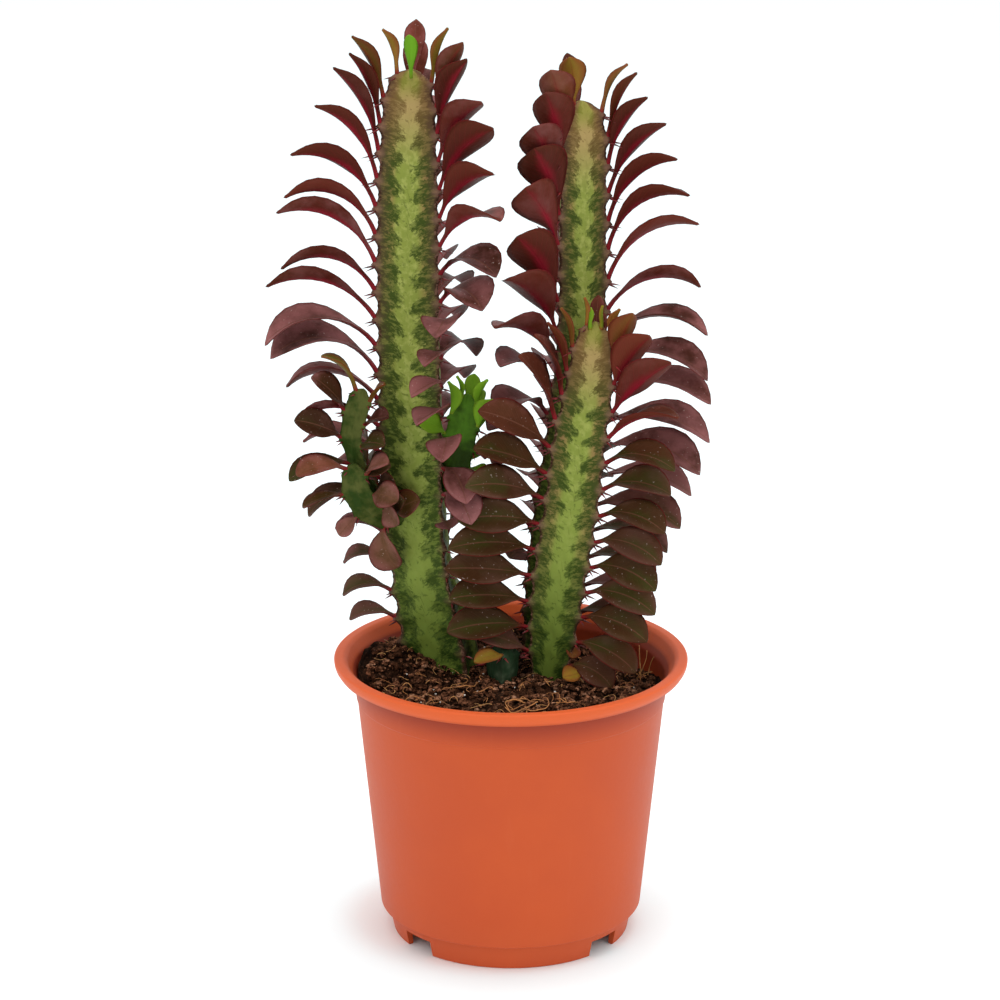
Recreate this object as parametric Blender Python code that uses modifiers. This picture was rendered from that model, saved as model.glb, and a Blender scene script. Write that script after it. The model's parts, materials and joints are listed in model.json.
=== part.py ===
"""Potted red euphorbia: three toothed, three-ribbed stems with leaves, in a plastic nursery pot.

Lengths are in metres and angles in degrees. The stems, pot and soil are laid out round the
pot's own axis, and the empty "stand" then sets the whole plant over the frame's origin.
"""

import math

import bmesh
import bpy
import numpy as np
from mathutils import Vector
from mathutils.bvhtree import BVHTree

NAME = "potted_euphorbia"
STAND = (0.0099, -0.0073, 0.0)      # the pot's axis, off the middle of the plant's box
GAP = 0.0003                        # left between solids that touch

# Nursery pot: radii and heights of its turned wall
RIM_RADIUS = 0.085
RIM_TOP = 0.138
RIM_DROP = 0.0065                   # height of the rolled rim
RIM_INSIDE = 0.0791
NECK_RADIUS = 0.0755                # outside, just under the rim
COLLAR_HEIGHT = 0.118               # faint step round the wall
COLLAR_STEP = 0.0005
BODY_FOOT = (0.063, 0.0126)         # lower outer edge of the tapered wall
RING_RADIUS = 0.0571                # foot ring that the pot stands on
RING_WALL = 0.0026
FLOOR_UNDER = 0.0095
WALL = 0.0015
NOTCH_ANGLES = (40, 140, 220, 320)
NOTCH_SIZE = (0.012, 0.018, 0.008)  # across the ring, along it, high
DRAIN_COUNT = 6
DRAIN_RADIUS = 0.004
DRAIN_CIRCLE = 0.036
TURN_STEPS = 30

# Soil: height of its surface, and the mounds and hollows on it as (x, y, height, spread)
SOIL_LEVEL = 0.1265
SOIL_SWELLS = ((-0.056, 0.018, 0.0085, 0.020), (0.055, 0.038, -0.0085, 0.026),
               (0.010, -0.050, 0.0025, 0.028), (-0.030, -0.045, -0.002, 0.020))
SOIL_RINGS = (0.985, 0.84, 0.62, 0.33)
ROOT_DEPTH = 0.024                  # how far a stem reaches into its hole
PLAIN_BASE = 0.007                  # untoothed foot of a stem, over the soil
AREOLE_OVER_SOIL = 0.004

# Teeth, spines and blades
TOOTH_HEIGHT = 0.0036
FACE_RADIUS = 0.66                  # flat middle of a face, as a share of the rib's radius
FACE_ANGLE = 36                     # from a rib to that flat's edge
CROWDING = 0.35                     # areoles draw together under the tip
BLADE = 0.0007
FOLD = 24
SPINE_LENGTH = 0.0055
SPINE_RADIUS = 0.0005
SPINE_EVERY = 5
CLEARANCE = 0.0013
SMALL_LEAF = 0.045                  # leaves shorter than this have one row less
LEAST_LEAF = 0.006                  # an areole whose leaf would be shorter is bare
LARGE_BLADE = ((0.0, 0.3, 0.6, 0.84, 1.0), (0.0, 0.34, 1.0, 0.76, 0.0))
SMALL_BLADE = ((0.0, 0.4, 0.76, 1.0), (0.0, 0.7, 0.94, 0.0))
SEED = 7

# Each stem: the centre line upwards from the soil (or from inside its parent) and the rib
# radius along it, in millimetres; the first rib's direction at the foot and at the tip; the
# spacing of the areoles along a rib. Each of its ribs has rows of leaf values by distance
# under the tip: distance, length, width, rise at the stalk, fall at the tip, sweep, roll.
STEMS = {
    "tall_stem": {
        "path": ((-29, 18, 126), (-32.5, 18, 145), (-39.5, 18, 178), (-42.5, 18, 215), (-44.3, 18, 260),
                 (-46, 18, 310), (-46.6, 18, 360), (-46.6, 18, 400), (-46.3, 18, 415)),
        "radius": (24, 23.5, 20.5, 20, 20.3, 19.8, 18.8, 16.5, 12.5),
        "turn": (172, 207),
        "spacing": 13.3,
        "ribs": (
            ((0, 25, 8, 88, 46, 0, 8), (9, 35, 10, 82, 42, 0, 14), (23, 39, 12, 84, 44, 0, 20),
             (36, 46, 13, 82, 34, 0, 24), (49, 49, 14, 81, 16, 0, 26), (62, 56, 16, 76, -6, 0, 28),
             (76, 54, 18, 74, -20, 0, 28), (90, 60, 18, 74, -16, 0, 26), (105, 55, 18, 66, -34, 0, 22),
             (117, 63, 19, 66, -22, 0, 22), (130, 60, 20, 64, -50, 0, -8), (143, 59, 22, 66, -40, 0, -12),
             (160, 50, 18, 60, -40, 0, 16), (190, 38, 15, 52, -38, 0, -12), (215, 27, 13, 54, -34, 0, -12),
             (285, 26, 12, 52, -34, 0, -12)),
            ((0, 27, 9, 84, 60, 0, -6), (14, 37, 12, 80, 50, 0, -22), (30, 42, 15, 78, 42, 0, -30),
             (45, 46, 19, 72, 26, 0, -34), (60, 48, 21, 70, 8, 0, -34), (75, 48, 22, 66, 4, 0, -26),
             (92, 44, 22, 58, -36, -6, 8), (112, 43, 23, 52, -46, -18, 12), (122, 36, 17, 46, -20, -80, 6),
             (168, 34, 17, 36, -20, -95, 6), (178, 30, 18, 34, -66, -10, 10),
             (205, 32, 18, 30, -70, 0, 10), (215, 0, 12, 30, -50, 0, 10)),
            ((0, 27, 9, 86, 56, 0, 0), (14, 36, 11, 80, 38, 0, 0), (45, 45, 15, 70, 5, 0, 0),
             (90, 54, 18, 62, -30, 0, 0), (150, 56, 18, 55, -48, 0, 0),
             (235, 40, 14, 50, -35, 0, 0), (245, 0, 12, 50, -35, 0, 0)),
        ),
    },
    "back_stem": {
        "path": ((15, 45, 126), (16.5, 45, 155), (20, 45, 191), (24.5, 45, 222), (29.5, 45, 262),
                 (32, 45, 301), (32, 45, 336), (32.5, 45, 382), (33, 45, 395.5)),
        "radius": (14, 15.5, 16, 16, 16, 16, 16, 15, 10.5),
        "turn": (222, 230),
        "spacing": 14.1,
        "ribs": (
            ((0, 24, 12, 84, 76, 0, 30), (14, 33, 18, 80, 68, 0, 48), (45, 42, 22, 76, 58, 0, 55),
             (85, 46, 23, 70, 42, 0, 50), (120, 47, 22, 60, 6, 0, 24), (150, 46, 20, 52, -30, 0, -6),
             (215, 36, 17, 46, -35, 0, -20), (225, 0, 14, 45, -35, 0, -20)),
            ((0, 24, 8, 84, 52, 0, -6), (6, 31, 9, 84, 44, 0, -14), (21, 36, 11, 84, 50, 0, -20),
             (35, 43, 13, 82, 40, 0, -24), (48, 48, 15, 78, 24, 0, -26), (62, 57, 17, 80, 0, 0, -24),
             (77, 55, 18, 76, -10, 0, -22), (92, 57, 19, 72, -18, 0, -22), (105, 55, 18, 64, -28, 0, -8),
             (120, 58, 19, 52, -42, 0, 16), (150, 64, 20, 44, -38, 0, 22), (190, 54, 18, 42, -36, 0, 22),
             (260, 36, 16, 42, -35, 0, 24)),
            ((0, 26, 10, 86, 66, 0, 0), (14, 35, 15, 80, 48, 0, 0), (45, 43, 18, 70, 18, 0, 0),
             (100, 48, 18, 60, -25, 0, 0), (215, 36, 15, 48, -35, 0, 0), (225, 0, 14, 48, -35, 0, 0)),
        ),
    },
    "front_stem": {
        "path": ((18, 3, 126), (20, 3, 140), (22.5, 3, 165), (25.3, 3, 186), (29.6, 3, 216),
                 (33, 3, 247), (36.2, 3, 266), (38.4, 3, 288), (39.3, 3, 299)),
        "radius": (9.5, 14, 16.5, 17, 17, 16.5, 15.5, 13, 9),
        "turn": (200, 206),
        "spacing": 12.8,
        "ribs": (
            ((0, 14, 5, 84, 66, 0, 0), (12, 24, 8, 78, 52, 0, 0), (28, 31, 13, 74, 44, 0, -10),
             (44, 42, 19, 68, 46, 0, -36), (58, 46, 21, 44, 2, 0, -46), (75, 42, 20, 36, -4, 0, -50),
             (88, 45, 21, 24, -12, 0, -52), (120, 43, 20, 16, -16, 0, -50), (165, 40, 19, 12, -12, 0, -46)),
            ((0, 12, 6, 84, 74, 0, 0), (10, 22, 13, 80, 66, 0, -26), (22, 32, 20, 76, 58, 0, -38),
             (36, 40, 22, 68, 40, 4, -34), (48, 44, 21, 60, 26, 6, -20), (58, 38, 19, 46, -30, 14, 26),
             (100, 40, 20, 34, -32, 14, 40), (140, 40, 19, 26, -34, 12, 42), (165, 33, 18, 10, -60, 10, 44)),
            ((0, 14, 6, 84, 66, 0, 0), (12, 23, 9, 76, 50, 0, 0), (40, 35, 15, 66, 20, 0, 0),
             (80, 42, 18, 55, -15, 0, 0), (165, 34, 16, 40, -30, 0, 0)),
        ),
    },
}

# Short branches: joined to the tall stem, or standing alone as the offshoot in the soil
SHOOTS = {
    "upper_side_shoot": {
        "path": ((-50, 17, 206), (-59, 15.5, 209), (-67, 12, 219), (-72.5, 8.5, 233), (-74.5, 6.5, 246),
                 (-72, 6, 258), (-70, 6, 266)),
        "radius": (4.5, 4.8, 5, 5.6, 7, 8, 6.8),
        "turn": (180, 200),
        "spacing": 13.0,
        "ribs": (
            ((0, 28, 12, 64, 8, 0, -15), (13, 26, 15, 52, 20, 0, -48), (26, 27, 16, 40, 6, 0, -46),
             (40, 34, 14, 36, -30, 0, -12), (80, 30, 14, 40, -40, 0, -30)),
            ((0, 14, 8, 78, 50, 0, 20), (20, 19, 14, 38, 5, 0, 35), (80, 20, 14, 30, -25, 0, 40)),
            ((0, 20, 11, 70, 40, 20, -10), (20, 28, 14, 55, -10, 40, -20), (80, 28, 13, 40, -25, 30, 0)),
        ),
    },
    "lower_side_shoot": {
        "path": ((-50, 14, 203), (-58.5, 12, 203.5), (-65, 8, 207), (-70, 4, 214.5), (-73, 1.5, 223),
                 (-74, 0.5, 231)),
        "radius": (5, 6.5, 8, 9.2, 9, 7.4),
        "turn": (190, 205),
        "spacing": 13.0,
        "ribs": (
            ((0, 28, 13, 34, -18, 0, -25), (13, 22, 10, 24, -14, 0, -8), (24, 13, 10, 0, -20, 0, -42),
             (34, 23, 19, -8, -72, 0, -36), (60, 20, 17, -10, -70, 0, -30)),
            ((0, 17, 12, 66, 20, 10, 35), (18, 18, 15, 0, -62, 0, 20), (60, 18, 14, -10, -60, 0, 10)),
            ((0, 28, 13, 50, -30, 40, 0), (15, 28, 13, 45, -30, 30, 0), (60, 22, 13, 20, -30, 0, 0)),
        ),
    },
    "middle_shoot": {
        "path": ((-38, 14, 214), (-31, 12, 217), (-26, 9, 226), (-23.5, 5.5, 239), (-21.5, 3, 253),
                 (-20.5, 2, 264.5)),
        "radius": (5, 6.5, 9, 10.4, 10, 6.6),
        "turn": (178, 200),
        "spacing": 11.0,
        "ribs": (
            ((0, 12, 6, 85, 64, 0, 0), (6, 23, 12, 84, 66, 0, 62), (16, 20, 14, 58, 20, 0, -46),
             (30, 14, 9, 40, -10, 0, -20), (50, 14, 9, 40, -10, 0, 0)),
            ((0, 13, 7, 85, 60, 0, 0), (8, 25, 13, 66, 46, 0, -28), (30, 18, 10, 45, 0, 0, 0),
             (50, 0, 10, 40, -10, 0, 0)),
            ((0, 13, 7, 85, 55, 0, 0), (30, 24, 12, 50, 0, 0, 0), (40, 0, 12, 50, 0, 0, 0)),
        ),
    },
    "soil_offshoot": {
        "path": ((-4, -5, 126), (-4, -5, 131), (-4, -5, 138), (-4.2, -5, 144.5)),
        "radius": (8.5, 10.2, 10.2, 6.8),
        "turn": (150, 150),
        "spacing": 12.0,
        "ribs": (
            ((0, 12, 8, 40, 5, 0, -20), (30, 12, 8, 30, 0, 0, 0)),
            ((0, 19, 10, 34, -6, -75, -45), (30, 12, 8, 30, 0, 0, 0)),
            ((0, 12, 7, 50, 20, 0, 0), (30, 12, 8, 30, 0, 0, 0)),
        ),
    },
}

# Who grows on whom, and the order in which ribs get their leaves (the first keep their place)
FUSED = {"tall_stem": ("upper_side_shoot", "lower_side_shoot", "middle_shoot"),
         "back_stem": (), "front_stem": (), "soil_offshoot": ()}
RIB_ORDER = (("tall_stem", 0), ("back_stem", 1), ("front_stem", 0), ("front_stem", 1),
             ("tall_stem", 1), ("back_stem", 0), ("middle_shoot", 0), ("middle_shoot", 1),
             ("upper_side_shoot", 0), ("lower_side_shoot", 0), ("soil_offshoot", 1),
             ("back_stem", 2), ("tall_stem", 2), ("front_stem", 2), ("upper_side_shoot", 2),
             ("upper_side_shoot", 1), ("lower_side_shoot", 1), ("lower_side_shoot", 2),
             ("middle_shoot", 2))
# Ways to bend a leaf clear: added sweep, added rise, share of its length
BENDS = ((0, 0, 1), (10, 0, 1), (-10, 0, 1), (0, 10, 1), (0, -10, 1), (20, 0, 1), (-20, 0, 1),
         (12, 12, 0.95), (-12, 12, 0.95), (32, 0, 0.95), (-32, 0, 0.95), (0, 18, 0.85),
         (20, 15, 0.85), (-20, 15, 0.85), (45, 5, 0.85), (-45, 5, 0.85), (58, 10, 0.75),
         (-58, 10, 0.75), (0, 22, 0.65), (30, 20, 0.65), (-30, 20, 0.65), (70, 10, 0.6),
         (-70, 10, 0.6), (0, 25, 0.45), (40, 20, 0.45), (-40, 20, 0.45))


def clear_scene():
    for obj in list(bpy.data.objects):
        bpy.data.objects.remove(obj, do_unlink=True)


def make_collection(name):
    group = bpy.data.collections.new(name)
    bpy.context.scene.collection.children.link(group)
    return group


def make_material(name, colour, roughness):
    mat = bpy.data.materials.new(name)
    mat.use_nodes = True
    shader = mat.node_tree.nodes["Principled BSDF"]
    shader.inputs["Base Color"].default_value = (*colour, 1.0)
    shader.inputs["Roughness"].default_value = roughness
    shader.inputs["Metallic"].default_value = 0.0
    mat.diffuse_color = (*colour, 1.0)
    return mat


def make_object(name, points, faces, group):
    mesh = bpy.data.meshes.new(name)
    mesh.from_pydata([tuple(p) for p in points], [], [tuple(f) for f in faces])
    mesh.update()
    obj = bpy.data.objects.new(name, mesh)
    group.objects.link(obj)
    return obj


def bake(obj):
    """Replace an object's mesh by its evaluated one, and drop its modifiers."""
    bpy.context.view_layer.update()
    evaluated = obj.evaluated_get(bpy.context.evaluated_depsgraph_get())
    mesh = bpy.data.meshes.new_from_object(evaluated)
    obj.modifiers.clear()
    obj.data = mesh


def boolean(obj, operation, solver="EXACT", cutter=None, cutters=None):
    mod = obj.modifiers.new(operation.title(), "BOOLEAN")
    mod.operation = operation
    mod.solver = solver
    if cutters is not None:
        mod.operand_type = "COLLECTION"
        mod.collection = cutters
    else:
        mod.object = cutter
    return mod


def as_cutter(obj):
    obj.hide_render = True
    obj.display_type = "WIRE"


# ---- pot -------------------------------------------------------------------------------

def taper_radius(z):
    """Outer radius of the pot's wall at a height, on the straight taper."""
    foot_r, foot_z = BODY_FOOT
    share = (z - foot_z) / (RIM_TOP - RIM_DROP - foot_z)
    return foot_r + (NECK_RADIUS - foot_r) * share


def inner_radius(z):
    return taper_radius(z) - WALL


def pot_profile():
    """The wall's section as (radius, height): outer side downwards, then inside upwards."""
    lip = RIM_TOP - RIM_DROP
    foot_r, foot_z = BODY_FOOT
    floor_top = FLOOR_UNDER + 0.002
    outer = [(RIM_INSIDE + 0.0016, RIM_TOP), (RIM_RADIUS - 0.0022, RIM_TOP),
             (RIM_RADIUS - 0.0006, RIM_TOP - 0.0008), (RIM_RADIUS, RIM_TOP - 0.0022),
             (RIM_RADIUS - 0.0024, lip), (NECK_RADIUS + 0.0002, lip + 0.0004),
             (taper_radius(COLLAR_HEIGHT), COLLAR_HEIGHT),
             (taper_radius(COLLAR_HEIGHT) - COLLAR_STEP, COLLAR_HEIGHT - 0.0006),
             (foot_r + 0.0001, foot_z + 0.0006), (foot_r - 0.0007, foot_z),
             (RING_RADIUS + 0.0024, foot_z - 0.0004), (RING_RADIUS, 0.0)]
    ring_inside = RING_RADIUS - RING_WALL
    under = [(ring_inside, 0.0), (ring_inside + 0.001, FLOOR_UNDER), (0.0, FLOOR_UNDER)]
    inside = [(0.0, floor_top), (inner_radius(floor_top) - 0.003, floor_top),
              (inner_radius(floor_top + 0.003), floor_top + 0.003),
              (inner_radius(lip - 0.003), lip - 0.003), (RIM_INSIDE - 0.001, RIM_TOP - 0.0022),
              (RIM_INSIDE + 0.0002, RIM_TOP - 0.0006)]
    return outer + under + inside + outer[:1]


def turned(name, profile, group):
    points = [(r, 0.0, z) for r, z in profile]
    obj = make_object(name, points, [], group)
    bm = bmesh.new()
    verts = [bm.verts.new(p) for p in points]
    for first, second in zip(verts, verts[1:]):
        bm.edges.new((first, second))
    bm.to_mesh(obj.data)
    bm.free()
    screw = obj.modifiers.new("Turn", "SCREW")
    screw.axis = "Z"
    screw.angle = math.tau
    screw.steps = TURN_STEPS
    screw.render_steps = TURN_STEPS
    screw.use_merge_vertices = True
    screw.merge_threshold = 0.00001
    bake(obj)
    weld = bmesh.new()
    weld.from_mesh(obj.data)
    bmesh.ops.remove_doubles(weld, verts=weld.verts, dist=0.00001)
    weld.to_mesh(obj.data)
    weld.free()
    return obj


def make_pot(group, tools):
    pot = turned("pot", pot_profile(), group)
    for index, angle in enumerate(NOTCH_ANGLES):
        turn = math.radians(angle)
        bpy.ops.mesh.primitive_cube_add(size=1.0)
        notch = bpy.context.object
        notch.name = f"notch_{index + 1}"
        notch.scale = (NOTCH_SIZE[0], NOTCH_SIZE[1], 2 * NOTCH_SIZE[2])
        notch.rotation_euler = (0.0, 0.0, turn)
        notch.location = (RING_RADIUS * math.cos(turn), RING_RADIUS * math.sin(turn), 0.0)
        move_to(notch, tools)
        boolean(pot, "DIFFERENCE", cutter=notch)
    for index in range(DRAIN_COUNT):
        turn = math.tau * (index + 0.5) / DRAIN_COUNT
        bpy.ops.mesh.primitive_cylinder_add(vertices=8, radius=DRAIN_RADIUS, depth=0.01)
        drain = bpy.context.object
        drain.name = f"drain_{index + 1}"
        drain.location = (DRAIN_CIRCLE * math.cos(turn), DRAIN_CIRCLE * math.sin(turn), FLOOR_UNDER)
        move_to(drain, tools)
        boolean(pot, "DIFFERENCE", cutter=drain)
    bake(pot)
    pot.data.shade_smooth()
    pot.data.set_sharp_from_angle(angle=math.radians(35))
    return pot


def move_to(obj, group):
    for owner in list(obj.users_collection):
        owner.objects.unlink(obj)
    group.objects.link(obj)
    as_cutter(obj)


# ---- soil ------------------------------------------------------------------------------

def soil_height(x, y):
    """Soil surface: a level, mounds and hollows, and crumbs as crossed waves."""
    z = np.full_like(np.asarray(x, dtype=float), SOIL_LEVEL)
    for cx, cy, height, spread in SOIL_SWELLS:
        z = z + height * np.exp(-((x - cx) ** 2 + (y - cy) ** 2) / (2 * spread ** 2))
    crumbs = np.sin(x * 410 + 1.3 * np.sin(y * 290)) * np.sin(y * 370 + 0.9 * np.sin(x * 330 + 1))
    return z + 0.0009 * crumbs


def make_soil(group):
    bottom = FLOOR_UNDER + 0.002 + GAP
    steps = TURN_STEPS
    turn = np.arange(steps) * math.tau / steps
    side = [(inner_radius(bottom) - 0.0042, bottom),
            (inner_radius(bottom + 0.0035) - GAP - 0.0001, bottom + 0.0035)]
    rings = [np.column_stack([r * np.cos(turn), r * np.sin(turn), np.full(steps, z)]) for r, z in side]
    level = soil_height(inner_radius(SOIL_LEVEL) * np.cos(turn), inner_radius(SOIL_LEVEL) * np.sin(turn))
    edge = inner_radius(level - 0.003) - GAP - 0.0001
    rings.append(np.column_stack([edge * np.cos(turn), edge * np.sin(turn), level - 0.0015]))
    for share in SOIL_RINGS:
        x, y = edge * share * np.cos(turn), edge * share * np.sin(turn)
        rings.append(np.column_stack([x, y, soil_height(x, y)]))
    middle = np.array([[0.0, 0.0, float(soil_height(np.zeros(1), np.zeros(1))[0])]])
    points = np.vstack(rings + [middle])
    faces = [list(range(steps))[::-1]]
    for ring in range(len(rings) - 1):
        for step in range(steps):
            after = (step + 1) % steps
            low, high = ring * steps, (ring + 1) * steps
            faces.append((low + step, low + after, high + after, high + step))
    last = (len(rings) - 1) * steps
    for step in range(steps):
        faces.append((last + step, last + (step + 1) % steps, len(points) - 1))
    return make_object("soil", points, faces, group)


# ---- stems -----------------------------------------------------------------------------

class Stem:
    """Centre line, ribs and teeth of one stem; distances run down from its tip."""

    def __init__(self, values):
        path = np.array(values["path"]) / 1000
        self.radius_points = np.array(values["radius"]) / 1000
        self.rows = [np.array(rows, dtype=float) for rows in values["ribs"]]
        self.spacing = values["spacing"] / 1000
        self.turn = np.radians(values["turn"])
        ends = np.vstack([2 * path[0] - path[1], path, 2 * path[-1] - path[-2]])
        share = np.linspace(0, 1, 12, endpoint=False)[:, None]
        curve = []
        for a, b, c, d in zip(ends, ends[1:], ends[2:], ends[3:]):
            curve.append(0.5 * (2 * b + (c - a) * share + (2 * a - 5 * b + 4 * c - d) * share ** 2
                                + (3 * b - a - 3 * c + d) * share ** 3))
        line = np.vstack(curve + [path[-1:]])
        steps = np.linalg.norm(np.diff(line, axis=0), axis=1)
        up = np.concatenate([[0], np.cumsum(steps)])
        self.length = up[-1]
        self.line = line
        self.up = up
        self.knots = np.interp(np.arange(len(path)), np.arange(len(line)) / 12, up)

    def at(self, down):
        """Centre, upward tangent and the two cross directions at distances under the tip."""
        up = np.clip(self.length - np.atleast_1d(down), 0, self.length)
        centre = np.column_stack([np.interp(up, self.up, self.line[:, i]) for i in range(3)])
        ahead = np.column_stack([np.interp(np.clip(up + 0.002, 0, self.length), self.up, self.line[:, i])
                                 for i in range(3)])
        behind = np.column_stack([np.interp(np.clip(up - 0.002, 0, self.length), self.up, self.line[:, i])
                                  for i in range(3)])
        tangent = ahead - behind
        tangent /= np.linalg.norm(tangent, axis=1)[:, None]
        side = np.cross(np.array([0.0, 1.0, 0.0]), tangent)
        side /= np.linalg.norm(side, axis=1)[:, None]
        depth = np.cross(tangent, side)
        return centre, tangent, side, depth

    def rib_turn(self, down, rib):
        share = np.clip(1 - np.atleast_1d(down) / self.length, 0, 1)
        return self.turn[0] + (self.turn[1] - self.turn[0]) * share + rib * math.tau / 3

    def outward(self, down, rib):
        _, tangent, side, depth = self.at(down)
        turn = self.rib_turn(down, rib)[:, None]
        return side * np.cos(turn) + depth * np.sin(turn)

    def full_radius(self, down):
        """Rib radius without teeth, drawn in over the last 2 mm at the tip."""
        up = self.length - np.atleast_1d(down)
        return np.interp(up, self.knots, self.radius_points) * np.interp(down, (0, 0.002), (0.72, 1))

    def down_at(self, index):
        """Distance under the tip of the areole with this index, crowded towards the tip."""
        index = np.atleast_1d(index)
        return self.spacing * (index - CROWDING * (1 - np.exp(-index / 1.5)))

    def index_at(self, down):
        index = np.linspace(0, 40, 401)
        return np.interp(np.atleast_1d(down), self.down_at(index), index)

    def tooth(self, down, rib):
        """1 on an areole and 0 in the hollows between areoles."""
        phase = self.index_at(down) - rib / 3
        away = np.abs(phase - np.round(phase))
        return np.clip(1 - away / 0.3, 0, 1)

    def rib_radius(self, down, rib, plain):
        full = self.full_radius(down)
        height = TOOTH_HEIGHT * np.clip(full / 0.016, 0.4, 1)
        hollow = full - height * (1 - self.tooth(down, rib))
        foot = full - 0.6 * height
        return np.where(np.atleast_1d(down) > self.length - plain, foot, hollow)

    def areoles(self, rib, plain):
        """Distances under the tip of a rib's areoles, down to its plain foot or the soil."""
        downs = self.down_at(np.arange(40) + rib / 3)
        downs = downs[downs < self.length - plain - 0.001]
        centre = self.at(downs)[0] + self.outward(downs, rib) * self.full_radius(downs)[:, None]
        return downs[centre[:, 2] > soil_height(centre[:, 0], centre[:, 1]) + AREOLE_OVER_SOIL]


def section(radii):
    """Ring radii of a three-ribbed section, with the angle of each from the first rib."""
    angles = []
    sizes = []
    face = radii.mean(axis=1) * FACE_RADIUS
    for rib in range(3):
        angles += [120 * rib, 120 * rib + FACE_ANGLE, 120 * (rib + 1) - FACE_ANGLE]
        sizes += [radii[:, rib], face, face]
    return np.radians(angles), np.column_stack(sizes)


def stem_rings(stem, rooted, grow=0.0):
    """Rings of the stem from its tip down: teeth at thirds of the spacing, then the plain foot."""
    plain = PLAIN_BASE if rooted else 0.0
    last = float(stem.index_at(stem.length - plain)[0])
    downs = stem.down_at(np.arange(0.0, last, 1 / 3))
    downs = np.append(downs, stem.length - plain + 0.0005)
    if rooted:
        downs = np.append(downs, stem.length)
    else:
        downs[-1] = stem.length
    radii = np.column_stack([stem.rib_radius(downs, rib, plain) for rib in range(3)])
    angles, sizes = section(radii)
    centre, tangent, side, depth = stem.at(downs)
    turn = stem.rib_turn(downs, 0)[:, None] + angles[None]
    spread = (side[:, None] * np.cos(turn)[..., None] + depth[:, None] * np.sin(turn)[..., None])
    rings = centre[:, None] + spread * (sizes + grow)[..., None]
    if rooted:
        below = rings[-1] - np.array([0.0, 0.0, ROOT_DEPTH + grow])
        rings = np.concatenate([rings, below[None]])
    return rings


def loft(name, rings, group):
    """Closed solid through rings that run downwards, with a small crown on the first."""
    count, sides = rings.shape[:2]
    crown = rings[0].mean(axis=0)
    crown = crown + (crown - rings[1].mean(axis=0)) * 0.25
    points = np.vstack([rings.reshape(-1, 3), crown[None]])
    faces = []
    for ring in range(count - 1):
        for step in range(sides):
            after = (step + 1) % sides
            high, low = ring * sides, (ring + 1) * sides
            faces.append((low + step, low + after, high + after))
            faces.append((low + step, high + after, high + step))
    for step in range(sides):
        faces.append((step, (step + 1) % sides, len(points) - 1))
    last = (count - 1) * sides
    faces.append([last + step for step in range(sides)][::-1])
    return make_object(name, points, faces, group)


# ---- leaves ----------------------------------------------------------------------------

def leaf_values(rows, down, draw):
    """Leaf values at a distance under the tip, between the rib's rows, with a small draw."""
    at = [np.interp(down * 1000, rows[:, 0], rows[:, column]) for column in range(1, 7)]
    length, width, rise, fall, sweep, roll = at
    length *= 1 + 0.05 * draw[0]
    width *= 1 + 0.06 * draw[1]
    return [length / 1000, width / 1000, rise + 4 * draw[2], fall + 8 * draw[3],
            sweep + 8 * draw[4], roll + 10 * draw[5]]


def leaf_line(root, tangent, outward, values, shares):
    """Centre line of a leaf: it leaves the stem at its rise and bends over to its fall."""
    length, _, rise, fall, sweep, _ = values
    fine = np.linspace(0, 1, 33)
    slope = np.radians(rise + (fall - rise) * fine)
    swing = np.radians(sweep) * np.sqrt(fine)
    across = np.cross(tangent, outward)
    ahead = outward * np.cos(swing)[:, None] + across * np.sin(swing)[:, None]
    heading = ahead * np.cos(slope)[:, None] + tangent * np.sin(slope)[:, None]
    steps = (heading[1:] + heading[:-1]) / 2 * length / 32
    line = np.vstack([root, root + np.cumsum(steps, axis=0)])
    centre = np.column_stack([np.interp(shares, fine, line[:, i]) for i in range(3)])
    along = np.column_stack([np.interp(shares, fine, heading[:, i]) for i in range(3)])
    level = np.cross(tangent, ahead)
    level = np.column_stack([np.interp(shares, fine, level[:, i]) for i in range(3)])
    return centre, along, level


def blade_rows(length):
    """Shares of the length at which a leaf has points, and its widths there."""
    return LARGE_BLADE if length > SMALL_LEAF else SMALL_BLADE


def leaf_sheet(root, tangent, outward, values, lift=0.0):
    """Points of one leaf: a root point, rows of left edge, midrib and right edge, and a tip."""
    shares, widths = (np.array(row) for row in blade_rows(values[0]))
    centre, along, level = leaf_line(root, tangent, outward, values, shares)
    above = np.cross(along, level)
    roll = np.radians(values[5]) * np.clip(shares / 0.4, 0, 1)
    across = level * np.cos(roll)[:, None] + above * np.sin(roll)[:, None]
    above = above * np.cos(roll)[:, None] - level * np.sin(roll)[:, None]
    half = (values[1] / 2 * widths)[:, None]
    fold = math.radians(FOLD)
    centre = centre + above * lift
    right = centre + (across * math.cos(fold) + above * math.sin(fold)) * half
    left = centre + (-across * math.cos(fold) + above * math.sin(fold)) * half
    points = [centre[0]]
    for row in range(1, len(shares) - 1):
        points += [left[row], centre[row], right[row]]
    points.append(centre[-1])
    return np.array(points)


def sheet_faces(count, first=0):
    """Triangles of a leaf's sheet of so many points, the same on both of its faces."""
    tip = count - 1
    faces = [(0, 2, 1), (0, 3, 2)]
    for left in range(1, tip - 3, 3):
        mid, right = left + 1, left + 2
        faces += [(left, mid, left + 3), (mid, mid + 3, left + 3),
                  (mid, right, mid + 3), (right, right + 3, mid + 3)]
    faces += [(tip - 3, tip - 2, tip), (tip - 2, tip - 1, tip)]
    return [tuple(first + i for i in face) for face in faces]


def edge_faces(count):
    """Triangles that join the edges of two like sheets, the second following the first."""
    loop = [0] + list(range(3, count - 1, 3)) + [count - 1] + list(range(count - 4, 0, -3))
    faces = []
    for a, b in zip(loop, loop[1:] + loop[:1]):
        faces += [(a, b, b + count), (a, b + count, a + count)]
    return faces


def tree(points, faces):
    return BVHTree.FromPolygons([Vector(p) for p in points], faces)


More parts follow.
